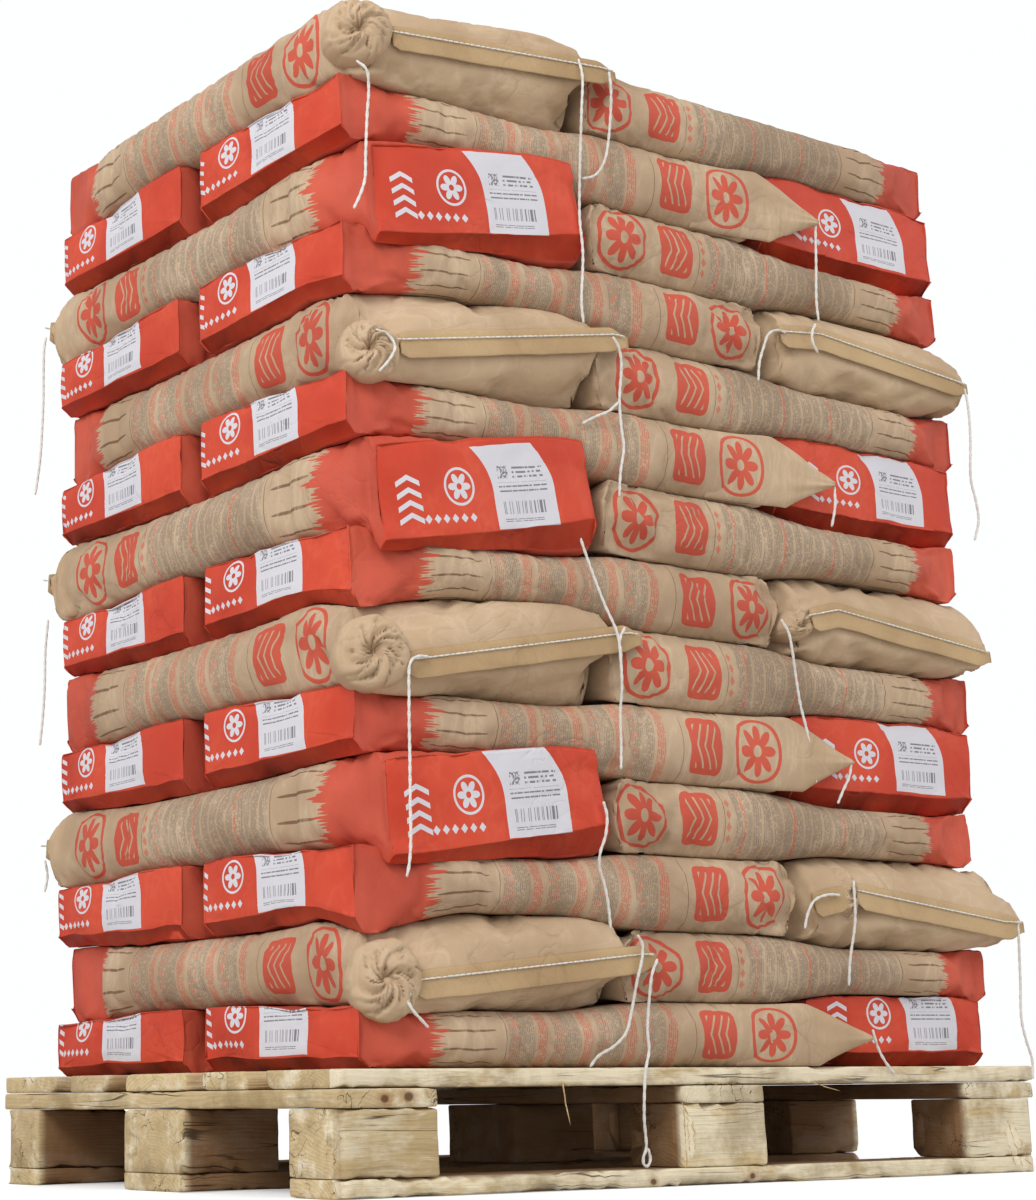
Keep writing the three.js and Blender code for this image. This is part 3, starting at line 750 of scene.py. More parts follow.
def sack_stations(length):
    """Distances from the red end: close together at both ends, even in the middle."""
    red = [0.0012, 0.0028, 0.0046, 0.007, 0.010, 0.0145, 0.020]
    sewn = [length - e for e in (0.030, 0.025, 0.020, 0.015, 0.0105, 0.007, 0.004, 0.002, 0.0008)]
    middle = np.linspace(red[-1], sewn[0], int((sewn[0] - red[-1]) / 0.0085) + 1)
    return np.concatenate([red[:-1], middle, sewn[1:]])


def vertex_normals(verts, faces):
    normals = np.zeros_like(verts)
    quads = np.array([f for f in faces if len(f) == 4])
    n = np.cross(verts[quads[:, 2]] - verts[quads[:, 0]], verts[quads[:, 3]] - verts[quads[:, 1]])
    for i in range(4):
        np.add.at(normals, quads[:, i], n)
    return normals / np.maximum(np.linalg.norm(normals, axis=1), 1e-12)[:, None]


PATCH_RINGS = (0.985, 0.93, 0.84, 0.72, 0.58, 0.42, 0.26, 0.12, 0.02)


def sack_shell(s, arc=18):
    """The sack's closed shell: verts, faces, the uv of each corner, and each face's material."""
    direction = 1.0 if s["sewn_at"] > s["red_at"] else -1.0
    length = abs(s["sewn_at"] - s["red_at"])
    in_front = s["axis"] == "y" and s["layer"] % 2 == 0
    forward = in_front and s["red_front"]
    axis = 0 if s["axis"] == "x" else 1
    flat = 40 if s["layer"] == 14 else 24 if axis == 1 else 10
    u = sack_stations(length)
    phi = np.linspace(-math.pi / 2, math.pi / 2, arc + 1)
    across = np.linspace(0, 1, flat + 1)[1:-1]
    n = 2 * (arc + flat)
    bend = np.linspace(-SIDE_ARC / 2, SIDE_ARC / 2, arc + 1)
    wide = SIDE_ARC / 2 + across * (GIRTH / 2 - SIDE_ARC)
    v = np.concatenate([bend, wide, GIRTH / 2 + bend, GIRTH / 2 + wide])
    if (direction < 0) == (axis == 0):
        v = v + GIRTH / 2

    def xy(along, t):
        along, t = np.broadcast_arrays(along, t)
        return (along, t) if axis == 0 else (t, along)

    rows = []
    for distance in u:
        e = length - distance
        along = s["red_at"] + direction * distance
        held = np.clip(along, *s["along_bearing"])
        inset = (1 - rise(0.0, 0.15, distance)) * np.array(s["inset"])
        ear = (1 - rise(0.0, 0.08, e)) ** 1.5
        lo = s["lo"] + inset[0] + s["lo_sewn"] * ear
        hi = s["hi"] - inset[1] + s["hi_sewn"] * ear
        box = 1 - rise(0.0, 0.085, distance)
        power = 2.1 + 3.5 * box
        depth = 0.030 - 0.024 * box - 0.014 * (1 - rise(0.0, 0.08, e))
        c = np.cos(phi) ** (2 / power)
        sn = np.sign(np.sin(phi)) * np.abs(np.sin(phi)) ** (2 / power)
        rim_lo, rim_hi = lo + depth, hi - depth
        t = np.concatenate([rim_lo - depth * c, rim_lo + across * (rim_hi - rim_lo),
            (rim_hi + depth * c)[::-1], rim_hi + across * (rim_lo - rim_hi)])
        f = np.concatenate([(1 + sn) / 2, np.ones(flat - 1), (1 + sn[::-1]) / 2, np.zeros(flat - 1)])
        spot = xy(held, np.clip(t, *s["bearing"]))
        low, high = (seat(k, *spot) + sag(k, *xy(along, t)) for k in (s["layer"] - 1, s["layer"]))
        low, high = low + SEAT_GAP, high - SEAT_GAP
        seam, top, bottom = rolled(s, t)
        seam = seam + s["seam"]
        if in_front:
            free = before_neighbours(t, along) if forward else 1 - rise(0.015, 0.045, e)
            low, high = low + bottom * free, high + top * free
        if s["ear"]:
            corner = rise(0.53, 0.62, t) * (1 - rise(0.015, 0.045, e))
            low, high = low + 0.014 * corner, high - 0.032 * corner
        fold = np.interp(t, (-0.51, -0.17), (0.06, 0.24)) if forward else np.full(n, 0.17)
        if forward:
            lean = np.interp(t, (lo, hi), (-0.006, -0.022)) * (1 - rise(0.0, 0.06, distance))
            t = t + (np.maximum(f, fold) - 0.5) * lean
        if distance == u[0]:
            fold_line = low + fold * (high - low)
        z = low + f * (high - low)
        full = np.interp(t, (-0.50, -0.36), (1.65, 3.0)) if in_front else 1.65
        taper = 0.048 if axis == 1 else 0.028
        over = (1 - (1 - min(1.0, e / taper)) ** full) ** (1 / full)
        under = (1 - (1 - min(1.0, e / (taper * 0.88))) ** 2.9) ** (1 / 2.9)
        z = seam + (z - seam) * np.where(z > seam, over, under)
        slant = (0.011 if forward else 0.016) * np.clip(1 - f / 0.16, 0, 1) * (1 - rise(0.0, 0.06, distance))
        rows.append(np.column_stack([*xy(along + direction * slant, t), z]))
    # The patch that closes the red end, from its rim to its middle.
    rim = rows[0].copy()
    rim[:, 2] = np.maximum(rim[:, 2], fold_line)
    rim[:, axis] = s["red_at"]
    middle = (rim.min(axis=0) + rim.max(axis=0)) / 2
    patch = [middle + (rim - middle) * np.array([0.996, 0.996, 0.975])]
    patch[0][:, axis] += direction * 0.0006
    patch += [middle + (rim - middle) * shrink for shrink in PATCH_RINGS]
    rings = len(patch)
    verts = np.vstack(patch[::-1] + rows)
    reach = np.concatenate([np.zeros(n * rings), np.repeat(u, n)])
    column = np.tile(np.arange(n), rings + len(u))

    quads = ring_strips(rings + len(u), n)
    on_patch = quads[:, 0] < n * rings
    flip = {(0, 1): -1, (0, -1): 1, (1, 1): 1, (1, -1): -1}[(axis, int(direction))]
    # The end's print is laid out from the fold along its lower edge, on each kind of end in its place.
    above = (verts[:, 2] - np.median(fold_line)) * (1.0 if forward else 1.13) - 0.052
    aside = 0.040 if axis == 0 and direction > 0 else 0.0 if forward or axis == 0 else -0.014
    flat_uv = np.column_stack([(verts[:, 1 - axis] - middle[1 - axis]) * flip + aside, above])
    turn = 0.0
    if forward:
        top_edge = END_ROLL[s["layer"]][2]
        turn = 0.0035 * (top_edge[3] - top_edge[0])
    flat_uv = flat_uv @ np.array([(math.cos(turn), -math.sin(turn)), (math.sin(turn), math.cos(turn))])
    body_uv = np.column_stack([reach, v[column]])
    uv = np.where(on_patch[:, None, None], flat_uv[quads], body_uv[quads])
    last = ~on_patch & (column[quads[:, 0]] == n - 1)
    uv[last, 1, 1] += GIRTH
    uv[last, 2, 1] += GIRTH
    start, end = ring_lid(0, n, arc // 2), ring_lid((rings + len(u) - 1) * n, n, arc // 2)
    faces = [tuple(q) for q in quads] + [f[::-1] for f in start] + end
    index = np.concatenate([on_patch.astype(int), np.ones(len(start), int), np.zeros(len(end), int)])
    lids = [flat_uv[list(f)[::-1]] for f in start] + [body_uv[list(f)] for f in end]
    uv = np.vstack([uv.reshape(-1, 2), *lids])
    turned = outward_faces(verts, faces)
    if turned[0] != faces[0]:
        cuts = np.cumsum([len(f) for f in faces])[:-1]
        uv = np.vstack([c[::-1] for c in np.split(uv, cuts)])
        faces = turned

    # Held as cloth where it bears: its wide faces, but not close to its ends.
    level = np.clip((np.abs(vertex_normals(verts, faces)[:, 2]) - 0.80) / 0.15, 0, 1)
    if s["layer"] < 14:
        level *= np.minimum(rise(0.02, 0.10, length - reach), rise(0.0, 0.05, reach))
    return dict(verts=verts, faces=faces, uv=uv, index=index, reach=reach, column=column, arc=arc, flat=flat,
        length=length, direction=direction, on_patch=np.arange(len(verts)) < n * rings, held=level)


CLOTH_FRAMES = 16
SPARE_PAPER = 0.05


def buckled(shells):
    """How far each point moves when the paper, 5 % too large for its filling, is blown up as cloth."""
    pieces = []
    for shell in shells:
        piece = new_piece("filling", shell["verts"], shell["faces"], [])
        group = piece.vertex_groups.new(name="held")
        for tenth in range(1, 11):
            group.add(np.flatnonzero(np.round(shell["held"] * 10) == tenth).tolist(), tenth / 10, "REPLACE")
        cloth = piece.modifiers.new("cloth", "CLOTH")
        cloth.collision_settings.use_collision = False
        cloth.point_cache.frame_end = CLOTH_FRAMES
        paper = cloth.settings
        paper.quality, paper.mass, paper.bending_model = 4, 0.15, "ANGULAR"
        paper.tension_stiffness = paper.compression_stiffness = 60
        paper.shear_stiffness, paper.bending_stiffness = 30, 0.3
        paper.use_pressure, paper.uniform_pressure_force = True, 5.0
        paper.effector_weights.gravity = 0
        paper.vertex_group_mass, paper.pin_stiffness = "held", 1.0
        paper.shrink_min = paper.shrink_max = -SPARE_PAPER
        pieces.append(piece)
    for number in range(1, CLOTH_FRAMES + 1):
        bpy.context.scene.frame_set(number)
    seen, moves = bpy.context.evaluated_depsgraph_get(), []
    for shell, piece in zip(shells, pieces):
        place = np.empty(shell["verts"].size, np.float32)
        piece.evaluated_get(seen).data.vertices.foreach_get("co", place)
        moves.append(place.reshape(-1, 3) - shell["verts"])
    for piece in pieces:
        mesh = piece.data
        bpy.data.objects.remove(piece)
        bpy.data.meshes.remove(mesh)
    bpy.context.scene.frame_set(1)
    return moves


def filled(s, shell, move):
    """The shell with its buckles, dents and folds. A side that meets another sack only gives way
    inwards."""
    verts, reach, column, arc, flat = (shell[key] for key in ("verts", "reach", "column", "arc", "flat"))
    axis = 0 if s["axis"] == "x" else 1
    normals = vertex_normals(verts, shell["faces"])
    e = shell["length"] - reach
    patch_in = shell["on_patch"] * 1.0
    body = 1 - patch_in
    at_lo, at_hi = column <= arc, (column >= arc + flat) & (column <= 2 * arc + flat)
    side_lo = np.where(at_lo, np.sin(np.pi * np.clip(column / arc, 0, 1)), 0)
    side_hi = np.where(at_hi, np.sin(np.pi * np.clip((column - arc - flat) / arc, 0, 1)), 0)
    outside = side_lo * s["free"]["lo"] + side_hi * s["free"]["hi"]
    on_top = ((column > arc) & (column < arc + flat)) * (s["layer"] == 14)
    outside = np.maximum(outside, on_top * np.clip(np.sin(np.pi * (column - arc) / flat), 0, 1) ** 0.4)
    open_side = np.maximum(at_lo * s["free"]["lo"], at_hi * s["free"]["hi"]) * 1.0

    # The buckles of the cloth: full near the ends, half as deep along the middle, never far outwards.
    share = 0.55 + 0.45 * np.maximum(1 - rise(0.04, 0.22, e), 1 - rise(0.02, 0.16, reach))
    share = share * (0.40 + 0.60 * rise(0.004, 0.055, reach))
    share = np.where(shell["on_patch"], 0.40, share) * rise(0.0, 0.006, e)
    move = move * share[:, None]
    out = np.einsum("ij,ij->i", move, normals)
    most = np.where(shell["on_patch"], 0.0012, np.where(open_side > 0, 0.0034, 0.0))
    in_front = s["axis"] == "y" and s["layer"] % 2 == 0
    beside_ends = s["name"] == "front" and s["layer"] % 2 == 1
    if in_front:
        held = [np.clip(verts[:, 0], *s["bearing"]), np.clip(verts[:, 1], *s["along_bearing"])]
        past = np.maximum(verts[:, 2] - seat(s["layer"], *held), seat(s["layer"] - 1, *held) - verts[:, 2])
        move = move * (1 - 0.9 * rise(-0.004, 0.006, past))[:, None]
        out = np.einsum("ij,ij->i", move, normals)
    if beside_ends:
        most = most * np.where(verts[:, 0] < -0.11, 0.35, 1.0)
    taut = np.zeros(len(verts))
    if beside_ends and s["red_front"]:
        taut = rise(0.01, 0.06, verts[:, 0])
    most = np.maximum(most * (1 - taut), 1e-5)
    held_back = np.where(out > 0, most * np.tanh(out / most), np.maximum(out, -0.014))
    move = move + normals * (held_back * (1 - 0.85 * taut) - out)[:, None]
    verts = verts + move

    lumps = 0.0026 * ripple(verts, 0.15, 1) + 0.0008 * ripple(verts, 0.055, 2)
    stretch = np.ones(3)
    stretch[axis] = 0.30
    crease = lambda size, seed, along=stretch: (1 - np.abs(ripple(verts * along, size, seed))) ** 12
    folds = crease(0.050, 3) + 0.7 * crease(0.080, 4, np.ones(3)) + 0.5 * crease(0.026, 9)
    near_end = np.maximum(1 - rise(0.02, 0.16, e), 0.8 * (1 - rise(0.02, 0.10, reach)))
    shift = outside * body * (lumps - 0.0022 * folds * (0.34 + near_end))
    sewn = 1 - rise(0.0, 0.075, e)
    sewn_out = sewn * (s["axis"] == "y")
    t = verts[:, 1 - axis]
    own = np.full(len(verts), float(s["layer"]))
    fine = ripple(np.column_stack([t, own, e * 0.20]), 0.024, 5)
    wide = ripple(np.column_stack([t + e * 0.3, own, e * 0.3]), 0.05, 11)
    pucker = 0.5 * fine - 0.8 * (1 - np.abs(wide)) ** 8
    shift += sewn_out * body * (0.0028 * pucker * rise(0.0, 0.010, e) + 0.5 * lumps)
    gathers = ripple(np.column_stack([verts[:, 2], own, e * 0.24]), 0.021, 13)
    shift -= (sewn - sewn_out) * (np.abs(lumps) + 0.0042 * (1 - np.abs(gathers)) ** 6)
    if in_front and not s["red_front"]:
        # The gusset under the right end of the tape is folded in along a slanting crease.
        drop = s["seam"] + rolled(s, verts[:, 0])[0] - 0.028 - verts[:, 2]
        past_crease = rise(0.0, 0.010, verts[:, 0] + 0.176 + 0.55 * drop)
        shift -= 0.005 * past_crease * rise(-0.004, 0.006, drop) * (1 - rise(0.02, 0.06, e))
    if s["ear"]:
        # The end is open under the left end of its tape.
        x, drop = verts[:, 0], s["seam"] + rolled(s, verts[:, 0])[0] - verts[:, 2]
        open_at = ((x - TAPE_START[s["layer"]] - 0.004) / 0.022) ** 2 + ((drop - 0.022) / 0.015) ** 2
        shift -= 0.016 * np.exp(-open_at) * (1 - rise(0.02, 0.05, e))
    rim = np.clip(1 - reach / 0.03, 0, 1) * body
    shift += (patch_in + rim) * (0.0014 * ripple(verts, 0.075, 6) - 0.0010)
    shift -= patch_in * np.abs(0.0026 * ripple(verts, 0.12, 7) + 0.0012 * ripple(verts, 0.030, 8))
    if in_front:
        shift *= 1 - 0.8 * rise(-0.004, 0.006, past)
    if beside_ends:
        shift = np.where(verts[:, 0] < -0.11, np.minimum(shift, 0.0006), shift)
    verts = verts + normals * (shift * (1 - 0.85 * taut))[:, None]

    # Between its seats, and short of the sack that its sewn end meets.
    xy = [verts[:, 0], verts[:, 1]]
    xy[axis] = np.clip(xy[axis], *s["along_bearing"])
    xy[1 - axis] = np.clip(xy[1 - axis], *s["bearing"])
    low, high = (seat(k, *xy) + sag(k, verts[:, 0], verts[:, 1]) for k in (s["layer"] - 1, s["layer"]))
    spread = 0.044 * before_neighbours(verts[:, 0], verts[:, 1]) if in_front else 0.0
    verts[:, 2] = np.maximum(verts[:, 2], low + SEAT_GAP - spread)
    if s["layer"] < 14:
        verts[:, 2] = np.minimum(verts[:, 2], high - SEAT_GAP + spread)
    if s["axis"] == "x" or s["sewn_at"] < 0:
        limit = s["sewn_at"] + (0.0 if s["axis"] == "x" else -0.0004)
        direction = shell["direction"]
        verts[:, axis] = direction * np.minimum(direction * verts[:, axis], direction * limit)
    return verts, shell["faces"], shell["uv"], shell["index"]


def join_shells(shells):
    """One mesh from several closed shells of verts, faces, corner uv and material index."""
    verts, faces, uv, index, first = [], [], [], [], 0
    for v, f, t, i in shells:
        verts.append(v)
        faces += [tuple(first + k for k in face) for face in f]
        uv.append(t)
        index.append(i)
        first += len(v)
    return np.vstack(verts), faces, np.vstack(uv), np.concatenate(index)


def loft(rows, uv_rows, material):
    """A closed shell through rings of points, with the uv of each corner and its material."""
    verts, faces = lofted(rows)
    uv_at = np.vstack(uv_rows)
    return verts, faces, np.vstack([uv_at[list(f)] for f in faces]), np.full(len(faces), material)


# How far the tape's section stands off the sack, and its height over the seam.
TAPE_SECTION = ((-0.0012, 0.0080), (0.0008, 0.0096), (0.0024, 0.0080), (0.0036, 0.0010),
    (0.0039, -0.007), (0.0042, -0.014), (0.0047, -0.020), (0.0050, -0.0245), (0.0046, -0.0262),
    (0.0036, -0.0255), (0.0010, -0.016), (-0.0012, -0.004))


def taped_flap(s, x0, x1, out, loose=0.0):
    """Crepe paper tape folded over the sewn edge, from x0 to x1, hanging on the side that out gives."""
    t = np.linspace(x0, x1, int((x1 - x0) / 0.006) + 1)
    shape = np.array(TAPE_SECTION)
    rows, uv_rows = [], []
    for x in t:
        end = rise(0.0, 0.034, x1 - x)
        start = rise(0.0, 0.012, x - x0)
        spot = np.array([x, s["layer"] * 1.7, out * 3.0])
        low = np.clip(-shape[:, 1] / 0.030, 0, 1)
        wave = 0.0011 * ripple(spot, 0.05) * low + 0.0006 * ripple(spot, 0.016) * low
        lift = (0.0020 * max(0.0, ripple(spot, 0.08, 3)) + loose * (1 - rise(0.0, 0.045, x - x0))) * low ** 2
        height = shape[:, 1] * (0.45 + 0.55 * end) * (0.75 + 0.25 * start)
        y = s["sewn_at"] + out * (shape[:, 0] * (0.55 + 0.45 * end) + lift)
        z = s["seam"] + rolled(s, x)[0] + height + wave - 0.004 * (1 - end)
        rows.append(np.column_stack([np.full(len(shape), x), y, z]))
        uv_rows.append(np.column_stack([np.full(len(shape), x), shape[:, 1]]))
    return loft(rows, uv_rows, 2)


# The rings of a gathered corner: their share of its size, and how far they lie behind its face.
GATHER_RINGS = ((0.80, 0.062), (0.94, 0.050), (1.01, 0.036), (1.04, 0.024), (1.04, 0.013), (1.02, 0.005),
    *((share, 0) for share in (0.99, 0.94, 0.88, 0.80, 0.72, 0.64, 0.56, 0.48, 0.40, 0.32, 0.25, 0.18, 0.12,
    0.06)))


def gathered_corner(s, x, out, turn, size=(0.045, 0.041), above=-0.009):
    """The corner of a sewn end that is twisted shut, with pleats that wind into its middle."""
    face = np.array([turn * 0.42, out * 0.91, 0.0])
    face /= np.linalg.norm(face)
    sideways = np.cross((0, 0, 1), face)
    middle = np.array([x, s["sewn_at"] - out * 0.004, s["seam"] + rolled(s, x)[0] + above])
    angle = np.linspace(0, 2 * math.pi, 96, endpoint=False)
    hand = 1 if s["layer"] % 4 < 2 else -1
    rows, uv_rows = [], []
    for share, behind in GATHER_RINGS:
        wound = angle + hand * 1.5 * max(0.0, 1 - share) ** 1.2
        around = np.column_stack([np.cos(wound), np.sin(wound), np.full(96, s["layer"] * 0.9 + x * 9)])
        fold = 5 * wound + 3.6 * ripple(around, 0.9, 5)
        fine_fold = 2.7 * fold / math.pi + share * 3
        pleat = 0.75 * np.abs((fold / math.pi) % 2 - 1) + 0.25 * np.abs(fine_fold % 2 - 1)
        uneven = 1 + 0.10 * ripple(around, 0.9, 8)
        groove = (1 - np.abs(ripple(around * (2.2, 2.2, 1) + (0, 0, share * 1.5), 0.60, 12))) ** 8
        within = min(1.0, share)
        bulge = 0.014 * (1 - within ** 2.4) - 0.004 * within ** 6 - 0.016 * math.exp(-(share / 0.20) ** 2)
        deep = max(0.0, math.sin(math.pi * min(1.0, 0.96 * share + 0.01))) ** 0.6 * (1 - behind / 0.062)
        height = bulge - behind + (0.0085 * (pleat - 0.5) - 0.0080 * groove) * deep
        radius = share * uneven * (1 - 0.05 * groove * within * (1 - behind / 0.062))
        flat = middle + np.outer(np.cos(angle) * radius * size[0], sideways)
        flat[:, 2] += np.sin(angle) * radius * size[1]
        rows.append(flat + height[:, None] * face)
        uv_rows.append(np.column_stack([np.full(96, 0.80 + share * 0.04), angle / 6.3 * 0.2]))
    return loft(rows, uv_rows, 0)


def pointed_corner(s):
    """The corner of a sewn end that lies pressed flat against the next sack and ends in a point."""
    x0, x1 = 0.045, 0.273
    angle = np.linspace(0, 2 * math.pi, 40, endpoint=False)
    rows, uv_rows = [], []
    for x in np.concatenate([np.linspace(x0, 0.15, 14), np.linspace(0.157, x1 - 0.004, 20), [x1]]):
        low = seat(s["layer"] - 1, min(x, 0.135), -0.365) + 0.001
        high = seat(s["layer"], min(x, 0.135), -0.365) - 0.001
        share = np.clip((x - 0.160) / (x1 - 0.160), 0, 1)
        point = (low + high) / 2 - 0.004
        top = high + (point + 0.004 - high) * share ** 1.08
        bottom = low + (point - 0.005 - low) * np.clip(share * 1.25 - 0.25, 0, 1) ** 0.85
        front = s["lo"] + 0.012 * (1 - rise(x0, 0.135, x)) - 0.0030 - 0.0085 * rise(0.12, 0.2, x)
        back = s["lo"] + 0.030 - 0.020 * rise(0.10, 0.17, x)
        c, sn = np.cos(angle), np.sin(angle)
        y = (front + back) / 2 - (back - front) / 2 * np.sign(c) * np.abs(c) ** (2 / 2.1)
        z = (top + bottom) / 2 + (top - bottom) / 2 * np.sign(sn) * np.abs(sn) ** (2 / 2.1)
        spot = np.column_stack([np.full(40, x), z, np.full(40, s["layer"] * 1.3)])
        fan = (z - point) / (0.3 - x)
        rays = np.column_stack([fan * 6, np.full(40, x * 3), np.full(40, s["layer"])])
        crease = 0.0022 * ripple(rays, 0.5, 2)
        y = y - (crease + 0.0016 * ripple(spot, 0.035, 4)) * rise(0.13, 0.19, x) * (c > 0)
        rows.append(np.column_stack([np.full(40, x), y, z]))
        round_side = np.arcsin(np.clip((2 * z - low - high) / (high - low), -1, 1)) / math.pi * SIDE_ARC
        uv_rows.append(np.column_stack([np.full(40, x - s["red_at"]), round_side]))
    return loft(rows, uv_rows, 0)


# How far the corners at the right ends of the tapes reach in the odd layers.
EAR_REACH = {3: 0.604, 7: 0.578, 11: 0.573}
SACKS = []
for layer in range(1, 15):
    odd, red_front = layer % 2 == 1, layer in RED_END_IN_FRONT
    uneven = 0.003 * math.sin(2.4 * layer)
    reach = RIGHT_REACH[layer - 1]
    seam = DECK_TOP + sum(LAYER_HEIGHTS[:layer]) - LAYER_HEIGHTS[layer - 1] / 2 + 0.012
    ear = EAR_REACH.get(layer)
    SACKS.append(dict(name="cross", layer=layer, axis="y", seam=seam, along_bearing=(-0.365, 0.340),
        bearing=(0.190, 0.535) if odd else (-0.525, -0.180),
        lo=0.1627 if odd else -0.549 - uneven, hi=0.535 + reach if odd else -0.1527,
        red_at=(-0.376 if odd else -0.3983) + uneven * odd if red_front else 0.351 + uneven,
        sewn_at=0.373 if red_front else -0.398, inset=(0.036 if red_front and not odd else 0.024, 0.024),
        lo_sewn=0.0 if red_front else 0.022, hi_sewn=ear - 0.540 - reach if ear else 0.0,
        free={"lo": not odd, "hi": odd}, red_front=red_front, ear=ear))
    for side in ("front", "back"):
        near = side == "front"
        SACKS.append(dict(name=side, layer=layer, axis="x", seam=seam, along_bearing=(-0.525, 0.135) if odd
            else (-0.125, 0.535), bearing=(-0.365, -0.035) if near else (0.010, 0.340),
            lo=-0.393 - uneven / 2 if near else -0.0123, hi=-0.0127 if near else 0.368 + uneven / 2,
            red_at=-0.547 - uneven if odd else 0.535 + reach, sewn_at=0.1623 if odd else -0.1523,
            inset=(0.026, 0.026), lo_sewn=0.004, hi_sewn=-0.004, free={"lo": near, "hi": not near},
            red_front=red_front, ear=None))

# What is printed on the sacks, in generic shapes: a red end with a brushed edge, brown bars, columns
# of grey rules, a red panel of chevrons and red rosettes. It repeats round the sack.
LINE_PITCH = 0.0029


def between(x, low, high):
    return (x > low) & (x < high)


def scattered(tree, detail, *numbers):
    """Noise over a place that is made of these numbers."""
    place = add(tree, "ShaderNodeCombineXYZ", dict(enumerate(numbers))).outputs[0]
    return noise(tree, place, 1.0, detail)


def flower(x, y, size, lobes, waist):
    """The petals round a point, and the distance from it."""
    far, turn = (x * x + y * y).op("SQRT"), y.op("ARCTAN2", x)
    return far < size * (waist + (1.0 - waist) * abs((turn * lobes).op("COSINE"))), far


def print_layout():
    group, (place, *_), end = field_group("print_layout", ("Place",), ("Red", "Grey", "Brown"))
    u, v, _ = xyz(group, place)
    cell = GIRTH / 8
    w = ((v / cell + 0.5).part() - 0.5) * cell
    pointed = lambda x, pitch: abs((x / pitch).part() - 0.5) * 2
    wear = noise(group, place, 60.0, 2.0)
    # The red end runs out in brush strokes of uneven length.
    def strokes(pitch, seed):
        length = scattered(group, 0.0, (v / pitch).whole() * 3.71 + seed).step(0.30, 0.70)
        return length * (1.0 - pointed(v, pitch) ** 1.6)
    red = u < 0.086 + 0.024 * strokes(cell / 14, 2.0) + 0.020 * strokes(cell / 37, 9.0) \
        + 0.012 * noise(group, place, 30.0, 2.0) + 0.003 * wear
    # Brown bars with worn ends.
    row = (pointed(v + cell / 10, cell / 5) - 1.0) * (cell / 10)
    brown = ((abs(row) / 0.0017) ** 2.0 + (abs(u - 0.150) / (0.037 + 0.012 * wear)) ** 4.0 + wear * 0.5) < 1.0
    brown = brown | (abs(u - 0.2035) < 0.0006)
    # Columns of grey rules with red rules between them.
    column = (u - 0.2075) / 0.0708
    inside = between(u, 0.2075, 0.4907)
    word = scattered(group, 1.0, v / 0.0027, (u / LINE_PITCH).whole() * 3.7)
    rule = inside & ((u / LINE_PITCH).part() < 0.66) & (word > 0.42) & (abs(w) < 0.053)
    part = column.part()
    speckled = rule & between(part, 0.03, 0.24) & (noise(group, place, 130.0, 1.0) > 0.50)
    grey = ((rule & (part < 0.60)) - speckled).op("MAXIMUM", 0.0)
    heading = (rule & between(part, 0.65, 0.87)) | speckled
    # The sack's other side has narrower columns, nearly all of them grey.
    other = abs((v / GIRTH + 0.5).part() - 0.5) > 0.25
    bend = 0.0035 * noise(group, place, 14.0, 1.0)
    dense = inside & (word > 0.41) & ((u / LINE_PITCH).part() < 0.72) & (abs(w) < 0.054)
    dense = dense & (((u + bend) / 0.0192).part() < 0.84)
    marks = inside & (word > 0.46) & (((u + bend * 1.6) / 0.0960).part() > 0.950)
    small = (abs(u - 0.5035) / 0.0045 + abs((w / 0.012).part() - 0.5) / 0.42) < 1.0
    marks = marks | (small & (abs(w) < 0.024))
    grey = grey * (1.0 - other) + (dense - marks).op("MAXIMUM", 0.0) * other
    heading = heading * (1.0 - other) + marks * other
    # The panel of chevrons and the rosette.
    narrow_side = abs((v / (GIRTH / 2) + 0.5).part() - 0.5) < 0.12
    chevron = between(((u - 0.6 * abs(w)) / 0.0130).part(), 0.0, 0.24) & (abs(w) < 0.022)
    chevron = chevron & (abs(u - 0.552) < 0.020)
    panel = (((abs(u - 0.552) / 0.029) ** 6 + (abs(w) / 0.030) ** 6) < 1.0) & narrow_side
    petals, far = flower(u - 0.648, w, 0.029, 4.0, 0.42)
    rosette = ((petals & (far > 0.006)) | between(far, 0.034, 0.0395)) & narrow_side
    # A larger rosette lies in the middle of each wide face.
    petals, far = flower(u - 0.600, ((v / (GIRTH / 2)).part() - 0.5) * (GIRTH / 2), 0.058, 4.0, 0.42)
    large = (petals & (far > 0.012)) | between(far, 0.066, 0.074) | between(far, 0.080, 0.083)
    red = red | (panel - chevron).op("MAXIMUM", 0.0) | rosette | large
    brown = brown | (abs(u - 0.5105) < 0.0005)
    return give(group, end, (red | heading * 0.66, grey, brown))


